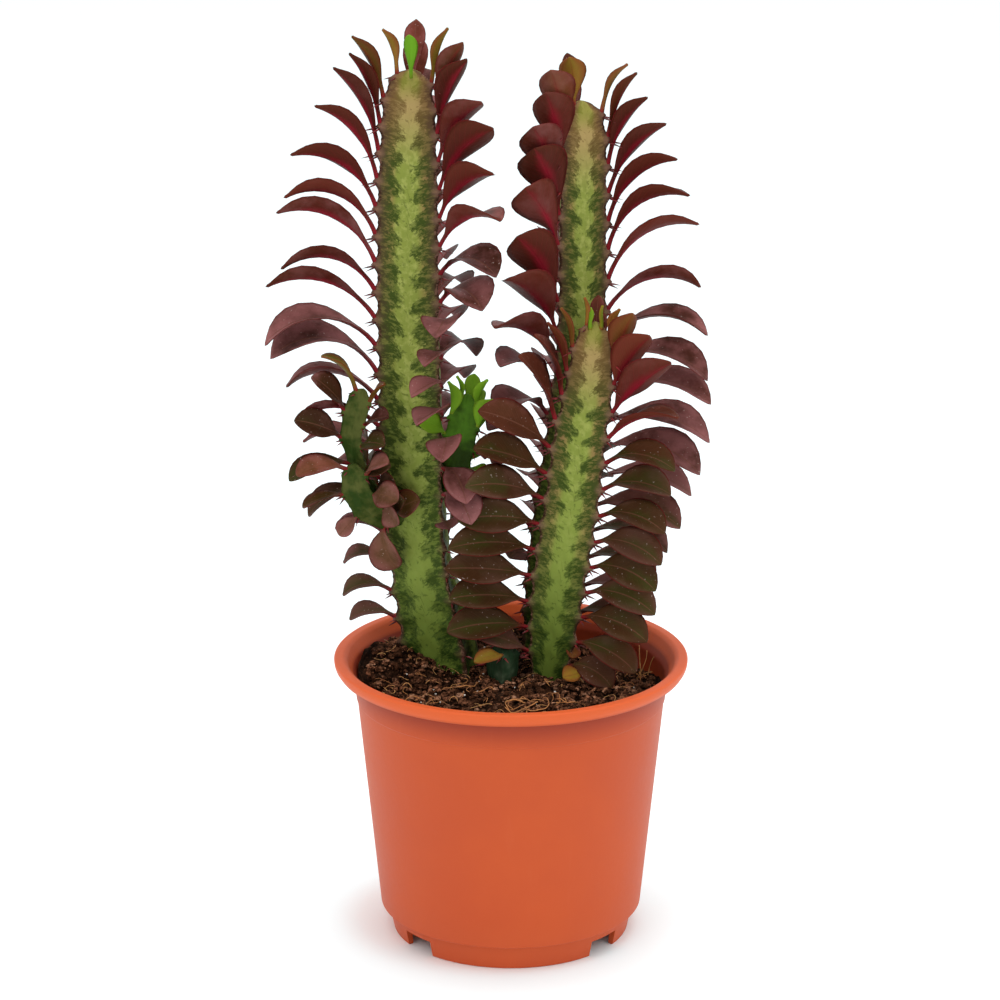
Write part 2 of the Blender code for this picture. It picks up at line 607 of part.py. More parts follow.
def place_leaves(stems, obstacles):
    """Give every areole a leaf, bending it clear of the leaves and stems already there."""
    random_draws = np.random.RandomState(SEED)
    placed = []
    leaves = {name: [] for name in stems}
    for name, rib in RIB_ORDER:
        stem, plain = stems[name]
        for down in stem.areoles(rib, plain):
            draw = random_draws.uniform(-1, 1, 6)
            values = leaf_values(stem.rows[rib], down, draw)
            if values[0] < LEAST_LEAF:
                continue
            centre, tangent, _, _ = stem.at(down)
            outward = stem.outward(down, rib)[0]
            reach = stem.rib_radius(down, rib, plain)[0]
            root = centre[0] + outward * (reach - 0.0022)
            points = fit_leaf(root, tangent[0], outward, values, name, placed, obstacles)
            if points is None:
                continue
            blade = tree(points, sheet_faces(len(points)))
            placed.append((blade, points.min(axis=0), points.max(axis=0)))
            leaves[name].append(points)
    return leaves


def fit_leaf(root, tangent, outward, values, name, placed, obstacles):
    """Points of the first bend of a leaf that is clear of everything, or None."""
    for sweep, rise, share in BENDS:
        tried = [values[0] * share, values[1] * (0.5 + 0.5 * share), values[2] + rise,
                 values[3] + rise, values[4] + sweep, values[5]]
        points = leaf_sheet(root, tangent, outward, tried)
        count = len(points)
        thin = sheet_faces(count)
        thick = thin + [tuple(i + count for i in f) for f in thin] + edge_faces(count)
        stalk = 4 if tried[0] > SMALL_LEAF else 1
        blade = [face for face in thick if min(i % count for i in face) >= stalk]
        both = np.vstack([leaf_sheet(root, tangent, outward, tried, CLEARANCE),
                          leaf_sheet(root, tangent, outward, tried, -CLEARANCE)])
        low, high = both.min(axis=0), both.max(axis=0)
        whole = tree(both, thick)
        if any(np.all(low < top) and np.all(high > bottom) and whole.overlap(other)
               for other, bottom, top in placed):
            continue
        far = tree(both, blade)
        if any((far if owner == name else whole).overlap(other) for owner, other in obstacles):
            continue
        return points
    return None


def make_blades(name, sheets, group):
    """All leaves of a stem in one object: open sheets with a Solidify wall."""
    points = np.vstack(sheets)
    faces = []
    first = 0
    for sheet in sheets:
        faces += sheet_faces(len(sheet), first)
        first += len(sheet)
    obj = make_object(name, points, faces, group)
    wall = obj.modifiers.new("Blade", "SOLIDIFY")
    wall.thickness = BLADE
    wall.offset = 0.0
    bake(obj)
    return obj


def make_spines(name, stem, plain, group):
    """Pairs of three-sided spines under some of the areoles of each rib."""
    points = []
    faces = []
    for rib in range(len(stem.rows)):
        for down in stem.areoles(rib, plain)[(rib % 2)::SPINE_EVERY]:
            centre, tangent, _, _ = stem.at(down + 0.001)
            outward = stem.outward(down, rib)[0]
            across = np.cross(tangent[0], outward)
            reach = stem.rib_radius(down, rib, plain)[0]
            for side in (-1, 1):
                heading = outward * 0.82 + across * side * 0.55 - tangent[0] * 0.12
                heading /= np.linalg.norm(heading)
                first = np.cross(heading, tangent[0])
                first /= np.linalg.norm(first)
                second = np.cross(heading, first)
                root = centre[0] + outward * (reach - 0.0018) + across * side * 0.0005
                base = len(points)
                for corner in range(3):
                    turn = corner * math.tau / 3
                    points.append(root + SPINE_RADIUS * (first * math.cos(turn) + second * math.sin(turn)))
                points.append(root + heading * (SPINE_LENGTH + 0.0018))
                faces += [(base, base + 1, base + 3), (base + 1, base + 2, base + 3),
                          (base + 2, base, base + 3), (base, base + 2, base + 1)]
    return make_object(name, points, faces, group)


def union(obj, parts):
    boolean(obj, "UNION", cutters=parts)
    bake(obj)
    for part in list(parts.objects):
        bpy.data.objects.remove(part, do_unlink=True)
    bpy.data.collections.remove(parts)


# ---- the whole -------------------------------------------------------------------------

def main():
    clear_scene()
    group = make_collection(NAME)
    tools = make_collection("cutters")
    stand = bpy.data.objects.new("stand", None)
    group.objects.link(stand)
    stand.location = STAND
    plastic = make_material("terracotta plastic", (0.55, 0.10, 0.035), 0.45)
    peat = make_material("potting soil", (0.035, 0.018, 0.012), 0.95)
    plant = make_material("euphorbia", (0.13, 0.06, 0.04), 0.5)

    pot = make_pot(group, tools)
    pot.data.materials.append(plastic)
    soil = make_soil(group)
    soil.data.materials.append(peat)

    stems = {}
    for name, values in {**STEMS, **SHOOTS}.items():
        stems[name] = (Stem(values), PLAIN_BASE if name in FUSED else 0.0)
    bodies = {}
    obstacles = [("pot", BVHTree.FromObject(pot, bpy.context.evaluated_depsgraph_get())),
                 ("soil", BVHTree.FromObject(soil, bpy.context.evaluated_depsgraph_get()))]
    for name, (stem, plain) in stems.items():
        rooted = name in FUSED
        bodies[name] = loft(name, stem_rings(stem, rooted), group)
        obstacles.append((name, BVHTree.FromObject(bodies[name], bpy.context.evaluated_depsgraph_get())))
        if rooted:
            hole = loft(f"{name}_hole", stem_rings(stem, rooted, GAP + 0.00015), tools)
            as_cutter(hole)
            boolean(soil, "DIFFERENCE", cutter=hole)
    bake(soil)

    leaves = place_leaves(stems, obstacles)
    for name, shoots in FUSED.items():
        parts = make_collection(f"{name}_parts")
        for member in (name, *shoots):
            stem, plain = stems[member]
            if leaves[member]:
                make_blades(f"{member}_leaves", leaves[member], parts)
            make_spines(f"{member}_spines", stem, plain, parts)
            if member != name:
                group.objects.unlink(bodies[member])
                parts.objects.link(bodies[member])
        union(bodies[name], parts)
        bodies[name].data.materials.clear()
        bodies[name].data.materials.append(plant)
    for obj in group.objects:
        if obj is not stand:
            obj.parent = stand
    print({name: len(points) for name, points in leaves.items()})


main()
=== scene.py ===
import json
import math

import bpy
import numpy as np
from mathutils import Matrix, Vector
from mathutils.bvhtree import BVHTree

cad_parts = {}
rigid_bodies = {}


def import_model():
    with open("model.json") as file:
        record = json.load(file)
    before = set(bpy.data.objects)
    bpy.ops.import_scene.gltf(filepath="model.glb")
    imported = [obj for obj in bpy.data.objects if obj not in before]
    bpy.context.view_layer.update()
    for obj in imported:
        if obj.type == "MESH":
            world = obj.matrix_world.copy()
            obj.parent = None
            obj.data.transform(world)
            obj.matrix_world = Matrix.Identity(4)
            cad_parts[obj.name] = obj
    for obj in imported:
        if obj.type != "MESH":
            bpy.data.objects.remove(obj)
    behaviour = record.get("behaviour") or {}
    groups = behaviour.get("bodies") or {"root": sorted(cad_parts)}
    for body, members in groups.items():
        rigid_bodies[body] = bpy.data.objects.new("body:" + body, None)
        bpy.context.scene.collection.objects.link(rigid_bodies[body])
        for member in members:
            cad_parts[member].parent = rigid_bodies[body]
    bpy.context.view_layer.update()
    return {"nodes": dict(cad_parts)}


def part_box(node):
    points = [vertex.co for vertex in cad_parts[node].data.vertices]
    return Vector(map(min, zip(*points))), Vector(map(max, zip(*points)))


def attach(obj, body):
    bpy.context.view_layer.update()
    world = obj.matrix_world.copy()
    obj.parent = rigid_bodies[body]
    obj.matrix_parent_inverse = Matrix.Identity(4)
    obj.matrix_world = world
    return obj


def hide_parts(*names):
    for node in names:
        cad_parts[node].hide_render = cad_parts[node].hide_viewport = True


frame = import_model()
potLow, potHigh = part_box("pot")
potAxis = np.array([(potLow.x + potHigh.x) / 2, (potLow.y + potHigh.y) / 2, potLow.z])
print("frame loaded, pot axis at", potAxis.round(4))


# every shape is worked out round the pot's own axis, and moved to its place here
def makePiece(name, points, faces, material, slot=None, numbers=None, uv=None, smooth=True):
    mesh = bpy.data.meshes.new(name)
    mesh.from_pydata((points + potAxis).astype(np.float32), [], faces)
    for key, values in (numbers or {}).items():
        kind, field = ("FLOAT_VECTOR", "vector") if values.ndim == 2 else ("FLOAT", "value")
        attribute = mesh.attributes.new(key, kind, "POINT")
        attribute.data.foreach_set(field, values.astype(np.float32).ravel())
    if uv is not None:
        corners = np.empty(len(mesh.loops), np.int32)
        mesh.loops.foreach_get("vertex_index", corners)
        layer = mesh.uv_layers.new(name="leafUv")
        layer.data.foreach_set("uv", uv[corners].astype(np.float32).ravel())
    mesh.polygons.foreach_set("use_smooth", np.full(len(mesh.polygons), smooth))
    mesh.materials.append(material)
    mesh.update()
    piece = bpy.data.objects.new(name, mesh)
    bpy.context.scene.collection.objects.link(piece)
    if slot:
        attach(piece, "root")
    return piece


# quads of a grid of points stored row by row, whose last column joins the first
def gridFaces(rows, columns):
    row, column = np.meshgrid(np.arange(rows - 1), np.arange(columns), indexing="ij")
    after = (column + 1) % columns
    quads = np.stack([row * columns + column, (row + 1) * columns + column,
                      (row + 1) * columns + after, row * columns + after], axis=-1)
    return quads.reshape(-1, 4)


# the grid's quads, and triangles from its first and last row to the two poles stored after it;
# the same again for every further copy of the shape
def shellFaces(rows, columns, copies=1, step=1):
    column = np.arange(columns)
    after = (column + 1) % columns
    last, pole = (rows - 1) * columns, np.full(columns, rows * columns)
    start = np.stack([pole, column, after], axis=-1)
    end = np.stack([column + last, pole + 1, after + last], axis=-1)
    shift = np.arange(copies)[:, None, None] * (rows * columns + 2)
    faces = []
    for part in (gridFaces(rows, columns), np.vstack([start, end])):
        faces += (part[None, :, ::step] + shift).reshape(-1, part.shape[1]).tolist()
    return faces


def smoothStep(value, low, high):
    share = np.clip((value - low) / (high - low), 0, 1)
    return share * share * (3 - 2 * share)


# each column of a table read off between its rows
def between(value, knots, table):
    return np.column_stack([np.interp(value, knots, column) for column in table.T])


# a direction turned by an angle towards another
def turned(first, second, angle):
    return first * np.cos(angle) + second * np.sin(angle)


def unit(vectors):
    return vectors / np.linalg.norm(vectors, axis=-1)[..., None]


class Socket:
    # an output socket of a finish; sums, differences and products on it add Math nodes
    def __init__(self, finish, output):
        self.finish = finish
        self.output = output

    def math(self, operation, *values):
        return self.finish.node("ShaderNodeMath", {"operation": operation}, values)

    # a smooth step up to one, or between any two values, and one down to nothing
    def rise(self, low, high, start=0.0, end=1.0):
        return self.finish.node("ShaderNodeMapRange", {"interpolation_type": "SMOOTHSTEP"},
                                {0: self, 1: low, 2: high, 3: start, 4: end})

    def fall(self, low, high, start=1.0):
        return self.rise(low, high, start, 0.0)

    def __add__(self, other):
        return self.math("ADD", self, other)

    def __radd__(self, other):
        return self.math("ADD", other, self)

    def __sub__(self, other):
        return self.math("SUBTRACT", self, other)

    def __rsub__(self, other):
        return self.math("SUBTRACT", other, self)

    def __mul__(self, other):
        return self.math("MULTIPLY", self, other)

    def __rmul__(self, other):
        return self.math("MULTIPLY", other, self)


class Finish:
    # a Principled material and the one method that adds any node to it; colours may be given by
    # their names in a dictionary
    def __init__(self, name, look):
        self.look = look
        self.material = bpy.data.materials.new(name)
        self.material.use_nodes = True
        self.tree = self.material.node_tree
        self.shader = self.tree.nodes["Principled BSDF"]

    def node(self, kind, settings=None, values=None, output=0):
        made = self.tree.nodes.new(kind)
        for key, value in (settings or {}).items():
            setattr(made, key, value)
        pairs = values.items() if isinstance(values, dict) else enumerate(values or ())
        for key, value in pairs:
            self.feed(made.inputs[key], value)
        return Socket(self, made.outputs[output])

    # a link, a colour or a number into one input
    def feed(self, socket, value):
        value = self.look[value] if isinstance(value, str) else value
        if isinstance(value, Socket):
            self.tree.links.new(value.output, socket)
        else:
            socket.default_value = (*value, 1) if isinstance(value, tuple) else value

    def mix(self, factor, first, second):
        return self.node("ShaderNodeMix", {"data_type": "RGBA"}, {0: factor, 6: first, 7: second}, 2)

    # lays colours over what is there, each where its mask says
    def over(self, colour, *layers):
        for mask, above in layers:
            colour = self.mix(mask, colour, above)
        return colour

    def number(self, name, output="Fac"):
        return self.node("ShaderNodeAttribute", {"attribute_name": name}, output=output)

    def place(self):
        return self.node("ShaderNodeTexCoord", output="Object")

    def parts(self, vector):
        made = self.node("ShaderNodeSeparateXYZ", values=[vector])
        return [Socket(self, output) for output in made.output.node.outputs]

    def vector(self, x, y, z):
        return self.node("ShaderNodeCombineXYZ", values=[x, y, z])

    def noise(self, vector, scale, detail=3.0, roughness=0.5):
        return self.node("ShaderNodeTexNoise", values={"Vector": vector, "Scale": scale, "Detail": detail,
                                                       "Roughness": roughness})

    # sets the shader's inputs and hands over the material; relief is a bump's height, distance
    # and strength
    def close(self, colour, roughness, relief=None, gloss=None):
        inputs = self.shader.inputs
        self.feed(inputs["Base Color"], colour)
        self.feed(inputs["Roughness"], roughness)
        if relief:
            height, distance, strength = relief
            bump = {"Strength": strength, "Distance": distance, "Height": height}
            self.feed(inputs["Normal"], self.node("ShaderNodeBump", values=bump))
        if gloss:
            self.feed(inputs["Specular IOR Level"], gloss)
        return self.material


# lengths in metres; each notch's size across, along and up; angles in degrees
pot = {
    "rimRadius": 0.085, "rimTop": 0.138, "rimDrop": 0.0065, "rimInside": 0.0791,
    "neckRadius": 0.0755, "collarHeight": 0.118, "collarStep": 0.0005,
    "footRadius": 0.063, "footHeight": 0.0126, "ringRadius": 0.0571, "ringWall": 0.0026,
    "floorUnder": 0.0095, "floor": 0.002, "wall": 0.0015, "steps": 160, "sharpAngle": 50,
    "notchAngles": (40, 140, 220, 320), "notchSize": (0.012, 0.018, 0.008),
    "drains": 6, "drainRadius": 0.004, "drainCircle": 0.036, "drainDepth": 0.01, "drainSteps": 28,
    "colour": (0.52, 0.074, 0.014), "shade": (0.49, 0.066, 0.013), "dust": (0.56, 0.12, 0.05),
    # the dark band under the rim is painted shade, and the lighter colour on the lip a painted highlight
    "neckShade": (0.31, 0.034, 0.009), "neckShadeFrom": (0.114, 0.1305), "neckShadeTo": (0.1312, 0.1322),
    "lip": (0.64, 0.098, 0.020), "lipHighlightFrom": (0.1318, 0.1335), "dustTo": 0.03, "gloss": 0.25,
}


def wallRadius(z):
    share = (z - pot["footHeight"]) / (pot["rimTop"] - pot["rimDrop"] - pot["footHeight"])
    return pot["footRadius"] + (pot["neckRadius"] - pot["footRadius"]) * share


# a line whose corners become parabolas that start and end their own radius away from them
def roundedLine(corners, count=6):
    line = [corners[0][:2]]
    share = np.linspace(0, 1, count)[:, None]
    for before, corner, after in zip(corners, corners[1:], corners[2:]):
        a, b, c = (np.array(p[:2]) for p in (before, corner, after))
        start = b + unit(a - b) * corner[2]
        end = b + unit(c - b) * corner[2]
        line.extend((1 - share) ** 2 * start + 2 * share * (1 - share) * b + share ** 2 * end)
    line.append(corners[-1][:2])
    return np.array([tuple(p) for p in line])


# a surface of revolution: each point of the section is carried round the axis, with a pole at
# both ends of the section
def turnedSurface(line, steps):
    angle = np.arange(steps) * math.tau / steps
    rings = line[1:-1]
    points = np.stack([rings[:, :1] * np.cos(angle), rings[:, :1] * np.sin(angle),
                       np.repeat(rings[:, 1:], steps, axis=1)], axis=-1).reshape(-1, 3)
    poles = np.array([[0, 0, line[0][1]], [0, 0, line[-1][1]]])
    return np.vstack([points, poles]), shellFaces(len(rings), steps)


# the wall's section from the floor's middle up the inside, over the rim and down to the foot ring,
# as radius, height and rounding; then the notches and drain holes are cut out
def makePot(material):
    rim, top, lip = pot["rimRadius"], pot["rimTop"], pot["rimTop"] - pot["rimDrop"]
    inside, wall, under = pot["rimInside"], pot["wall"], pot["floorUnder"]
    collar, foot, ring = pot["collarHeight"], pot["footHeight"], pot["ringRadius"]
    floorTop, ringInside = under + pot["floor"], ring - pot["ringWall"]
    corners = [
        (0.0, floorTop), (wallRadius(floorTop) - wall - 0.0004, floorTop, 0.003),
        (wallRadius(lip - 0.003) - wall, lip - 0.003, 0.0014), (inside - 0.0006, top - 0.0012, 0.001),
        (inside + 0.0012, top, 0.0008), (rim - 0.0002, top, 0.0014), (rim - 0.0006, top - 0.0034, 0.0012),
        (rim - 0.0026, lip, 0.0008), (pot["neckRadius"] + 0.0002, lip + 0.0003, 0.0008),
        (wallRadius(collar), collar, 0.0002),
        (wallRadius(collar) - pot["collarStep"], collar - 0.0006, 0.0002),
        (pot["footRadius"] + 0.0001, foot + 0.0002, 0.0009), (ring + 0.0026, foot - 0.0003, 0.0008),
        (ring, 0.0, 0.0005), (ringInside, 0.0, 0.0005), (ringInside + 0.001, under, 0.0006), (0.0, under),
    ]
    points, faces = turnedSurface(roundedLine(corners), pot["steps"])
    piece = makePiece("nurseryPot", points, faces, material, "terracotta plastic")
    cutters = bpy.data.collections.new("potCutters")
    bpy.context.scene.collection.children.link(cutters)

    # the shape just made, moved to its angle, distance and height and handed to the cutters
    def addCutter(turn, reach, height):
        cutter = bpy.context.object
        cutter.location = potAxis + (reach * math.cos(turn), reach * math.sin(turn), height)
        cutter.rotation_euler.z = turn
        bpy.context.scene.collection.objects.unlink(cutter)
        cutters.objects.link(cutter)
        return cutter

    across, along, high = pot["notchSize"]
    for turn in np.radians(pot["notchAngles"]):
        bpy.ops.mesh.primitive_cube_add(size=1.0)
        addCutter(turn, ring, 0.0).scale = (across, along, 2 * high)
    for turn in (np.arange(pot["drains"]) + 0.5) * math.tau / pot["drains"]:
        bpy.ops.mesh.primitive_cylinder_add(vertices=pot["drainSteps"], radius=pot["drainRadius"],
                                            depth=pot["drainDepth"])
        addCutter(turn, pot["drainCircle"], under).rotation_euler.z = 0
    cut = piece.modifiers.new("cut", "BOOLEAN")
    cut.operation = "DIFFERENCE"
    cut.operand_type = "COLLECTION"
    cut.collection = cutters
    bpy.context.view_layer.update()
    evaluated = piece.evaluated_get(bpy.context.evaluated_depsgraph_get())
    mesh = bpy.data.meshes.new_from_object(evaluated)
    piece.modifiers.clear()
    piece.data = mesh
    for cutter in list(cutters.objects):
        bpy.data.objects.remove(cutter)
    bpy.data.collections.remove(cutters)
    piece.data.set_sharp_from_angle(angle=math.radians(pot["sharpAngle"]))
    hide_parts("pot")


# terracotta with cloudy tones, scuffs, a dusty foot, a band of painted shade under the rim and a painted
# highlight on the lip
def plasticFinish():
    finish = Finish("terracotta plastic", pot)
    place = finish.place()
    x, y, z = finish.parts(place)
    cloud = finish.noise(place, 14, 4, 0.6)
    fine = finish.noise(place, 420, 3, 0.6)
    streaks = finish.noise(finish.vector(x * 60, y * 60, z * 5), 3, 3, 0.6)
    tone = finish.mix(cloud.rise(0.35, 0.7), "shade", "colour")
    scuffs = streaks.rise(0.6, 0.85) * 0.12 + fine.rise(0.62, 0.8) * 0.1
    # painted shade darkens a band under the rim, and a painted highlight lightens the lip's top
    neckShade = z.rise(*pot["neckShadeFrom"]) * z.fall(*pot["neckShadeTo"])
    dusty = z.fall(0.0, pot["dustTo"], 0.15) + scuffs
    tone = finish.over(
        tone, (neckShade, "neckShade"), (z.rise(*pot["lipHighlightFrom"]), "lip"), (dusty, "dust"))
    relief = (fine + 0.6 * streaks, 0.00008, 0.6)
    return finish.close(tone, 0.36 + 0.22 * cloud + 0.1 * fine, relief, "gloss")


# lengths in metres; swells are mounds and hollows as x, y, height and spread
soil = {
    "level": 0.1265, "rings": 84, "steps": 230, "reach": 0.0735, "bottom": 0.0118, "bevel": 0.0035,
    "swells": ((-0.056, 0.018, 0.0085, 0.020), (0.055, 0.038, -0.0085, 0.026),
               (0.010, -0.050, 0.0025, 0.028), (-0.030, -0.045, -0.002, 0.020)),
    "gap": 0.0004, "crumbHeight": 0.0036, "waves": 26, "longestWave": 0.010,
    "clods": 3700, "clodSize": (0.0005, 0.0023), "perlite": 46, "perliteSize": (0.0003, 0.0007),
    "fibres": 130, "fibreLength": (0.004, 0.015), "fibreRadius": 0.00015, "rootRadius": 0.00032,
    # the hollow colour is painted shade, laid in the crumbs' crevices
    "dark": (0.018, 0.0055, 0.0018), "hollow": (0.006, 0.002, 0.0008), "brown": (0.42, 0.175, 0.090),
    "warm": (0.62, 0.33, 0.20), "white": (0.72, 0.70, 0.66), "cream": (0.45, 0.40, 0.34),
    "root": (0.62, 0.25, 0.07), "straw": (0.72, 0.38, 0.13), "oldRoot": (0.16, 0.07, 0.03),
    "gloss": 0.05,
    # in millimetres, curled roots as middle, radius, start and turn in degrees, and lean; straws
    # as foot and top
    "curls": (((5, -50), 8.5, 200, 400, 0.5), ((2, -52), 5.5, 20, 330, 0.8), ((9, -47), 11, 250, 160, 0.4),
              ((-26, -33), 15, 60, 70, 0.2), ((-18, -36), 11, 10, 80, 0.9), ((-10, -30), 14, 110, 60, 0.3),
              ((30, -42), 10, 200, 90, 0.5), ((17, -44), 7, 300, 120, 0.7)),
    "straws": (((58, 22), (57, 20, 15)), ((61, 17), (66, 20, 14)), ((63, 13), (62, 15, 17)),
               ((66, 12), (69, 10, 13)), ((60, 6), (68, -2, 8)), ((-57, -22), (-66, -10, 2))),
}


# soil surface: a level, mounds and hollows as bell curves, and crumbs as two crossed waves
def soilHeight(x, y):
    z = np.full_like(x, soil["level"])
    for middleX, middleY, height, spread in soil["swells"]:
        z = z + height * np.exp(-((x - middleX) ** 2 + (y - middleY) ** 2) / (2 * spread ** 2))
    crumbs = np.sin(x * 410 + 1.3 * np.sin(y * 290)) * np.sin(y * 370 + 0.9 * np.sin(x * 330 + 1))
    return z + 0.0009 * crumbs


# the soil's fine relief: folded waves of many directions and lengths, the shorter the lower
def crumbRelief(x, y):
    draw = np.random.RandomState(11)
    relief = np.zeros_like(x)
    for index in range(soil["waves"]):
        turn = draw.uniform(0, math.pi)
        length = soil["longestWave"] * 0.93 ** index
        across = (x * math.cos(turn) + y * math.sin(turn)) * math.tau / length + draw.uniform(0, 6)
        bend = 1.5 * np.sin((x * math.sin(turn) - y * math.cos(turn)) * math.tau / (length * 1.7))
        relief += (1 - 2 * np.abs(np.sin(across + bend))) * length
    return relief / np.abs(relief).max() * soil["crumbHeight"]


# the soil's top as rings that reach the pot's wall, then a straight side, a bevel and the bottom
def makeSoil(material):
    def inside(z):
        return wallRadius(z) - pot["wall"] - soil["gap"]

    angle = np.arange(soil["steps"]) * math.tau / soil["steps"]
    level = soilHeight(soil["reach"] * np.cos(angle), soil["reach"] * np.sin(angle))
    edge = inside(level - 0.003)
    shares = np.sin(np.linspace(0, 1, soil["rings"] + 1)[1:] * math.pi / 2) ** 1.15
    x = shares[:, None] * edge * np.cos(angle)
    y = shares[:, None] * edge * np.sin(angle)
    relief = crumbRelief(x, y)
    z = soilHeight(x, y) + relief * (1 - smoothStep(shares, 0.97, 1.0))[:, None]
    top = np.stack([x, y, z], axis=-1)
    side = soil["bottom"] + soil["bevel"]
    low = np.stack([inside(side) * np.cos(angle), inside(side) * np.sin(angle), np.full_like(angle, side)],
                   axis=-1)
    base = low * [0.95, 0.95, 0] + [0, 0, soil["bottom"]]
    rings = np.vstack([top, low[None], base[None]])
    middle = soilHeight(np.zeros(1), np.zeros(1))[0]
    points = np.vstack([rings.reshape(-1, 3), [[0, 0, middle], [0, 0, soil["bottom"]]]])
    # the crumbs' relief, kept as depth, tells the finish where to lay painted shade in the crevices
    depth = np.zeros(len(points))
    depth[:relief.size] = (relief / soil["crumbHeight"]).ravel()
    piece = makePiece("peatSoil", points, shellFaces(len(rings), soil["steps"]), material, "potting soil",
                      {"depth": depth})
    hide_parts("soil")


# points on the soil by area, clear of the pot's wall
def soilSpots(count, draw, reach=0.069):
    radius = np.sqrt(draw.uniform(0, 1, count)) * reach
    turn = draw.uniform(0, math.tau, count)
    x, y = radius * np.cos(turn), radius * np.sin(turn)
    return np.column_stack([x, y, soilHeight(x, y)])


# lumps: balls of six meridians and four parallels whose points are pushed in and out at random,
# each squashed, turned and set on its spot
def makeLumps(name, spots, sizes, draw, material, flatness=0.7):
    meridians, parallels = 6, 4
    turn = np.arange(meridians) * math.tau / meridians
    tilt = ((np.arange(parallels) + 1) * math.pi / (parallels + 1))[:, None]
    ball = np.stack([np.sin(tilt) * np.cos(turn), np.sin(tilt) * np.sin(turn),
                     np.repeat(np.cos(tilt), meridians, axis=1)], axis=-1).reshape(-1, 3)
    ball = np.vstack([ball, [[0, 0, 1], [0, 0, -1]]])
    count = len(spots)
    lumps = ball[None] * draw.uniform(0.72, 1.25, (count, len(ball), 1))
    lumps *= np.stack([draw.uniform(0.7, 1.2, count), draw.uniform(0.7, 1.2, count),
                       draw.uniform(0.5, 1.0, count) * flatness], axis=-1)[:, None]
    spin = draw.uniform(0, math.tau, count)[:, None]
    lean = draw.uniform(-0.6, 0.6, count)[:, None]
    x, y, z = np.moveaxis(lumps, -1, 0)
    x, z = turned(x, z, lean), turned(z, -x, lean)
    x, y = turned(x, -y, spin), turned(y, x, spin)
    lumps = np.stack([x, y, z], axis=-1)
    points = (lumps * sizes[:, None, None] + spots[:, None]).reshape(-1, 3)
    tone = np.repeat(draw.uniform(0, 1, count), len(ball))
    makePiece(name, points, shellFaces(parallels, meridians, count), material, "potting soil",
              {"tone": tone}, smooth=False)


# a thin tube round each of many lines: at every point a triangle across the line, with both
# ends drawn to a point
def makeTubes(name, lines, radius, material, slot, numbers=None):
    count, rows = lines.shape[:2]
    tangent = np.gradient(lines, axis=1)
    tangent /= np.linalg.norm(tangent, axis=2)[..., None] + 1e-12
    side = np.cross(tangent, np.array([0.31, 0.22, 0.93]))
    side /= np.linalg.norm(side, axis=2)[..., None] + 1e-12
    other = np.cross(tangent, side)
    turn = (np.arange(3) * math.tau / 3)[:, None]
    ring = turned(side[:, :, None], other[:, :, None], turn)
    rings = (lines[:, :, None] + ring * radius[..., None, None])[:, 1:-1]
    ends = np.stack([lines[:, 0], lines[:, -1]], axis=1)
    points = np.concatenate([rings.reshape(count, -1, 3), ends], axis=1)
    values = {key: np.repeat(value, points.shape[1]) for key, value in (numbers or {}).items()}
    makePiece(name, points.reshape(-1, 3), shellFaces(rows - 2, 3, count, -1), material, slot, values)


# fibres: each starts on the soil and wanders over it, its heading turned a little at each step
def makeFibres(draw, material):
    count, rows, reach = soil["fibres"], 15, 0.070
    spots = soilSpots(count, draw, 0.066)
    length = draw.uniform(*soil["fibreLength"], count)
    heading = draw.uniform(0, math.tau, count)[:, None]
    curl = draw.uniform(-1, 1, count)[:, None] * 0.28
    turn = heading + np.cumsum(curl + draw.normal(0, 0.16, (count, rows)), axis=1)
    step = (length / rows)[:, None]
    x = spots[:, :1] + np.cumsum(np.cos(turn) * step, axis=1)
    y = spots[:, 1:2] + np.cumsum(np.sin(turn) * step, axis=1)
    away = np.hypot(x, y)
    squeeze = np.where(away > reach, reach / away, 1)
    x, y = x * squeeze, y * squeeze
    arch = draw.uniform(0.0003, 0.0026, count)[:, None] * np.sin(np.linspace(0, 1, rows) * math.pi)
    z = soilHeight(x, y) + 0.0006 + arch
    thick = draw.uniform(0.6, 1.5, count)[:, None] * soil["fibreRadius"] * np.ones(rows)
    makeTubes("rootFibres", np.stack([x, y, z], axis=-1), thick, material, "potting soil",
              {"tone": draw.uniform(0, 1, count)})


# larger roots: arcs that wind round a middle with a slowly shrinking radius and rise and dip as a
# sine, and straws as lines bowed by a parabola
def makeRoots(draw, material):
    share = np.linspace(0, 1, 25)
    lines = []
    for middle, radius, start, turn, lean in soil["curls"]:
        angle = np.radians(start + turn * share)
        reach = radius * (1 - 0.25 * share) * (1 + 0.08 * np.sin(9 * share + radius))
        x = (middle[0] + reach * np.cos(angle)) / 1000
        y = (middle[1] + reach * np.sin(angle)) / 1000
        z = soilHeight(x, y) + 0.0016 + 0.0035 * lean * np.abs(np.sin(angle + radius))
        lines.append(np.column_stack([x, y, z]))
    for foot, top in np.array([((*foot, 0), top) for foot, top in soil["straws"]]) / 1000:
        ground = soilHeight(foot[:1], foot[1:2])[0] - 0.001
        start, end = foot + [0, 0, ground], top + [0, 0, ground]
        bow = (share * (1 - share))[:, None] * np.array([draw.uniform(-6, 6), draw.uniform(-3, 3), 4]) / 1000
        lines.append(start + (end - start) * share[:, None] + bow)
    tone = np.array([0.1] * len(soil["curls"]) + [0.95] * len(soil["straws"]))
    thick = soil["rootRadius"] * (1 - 0.5 * share) * np.ones((len(lines), 1))
    makeTubes("largeRoots", np.array(lines), thick, material, "potting soil", {"tone": tone})
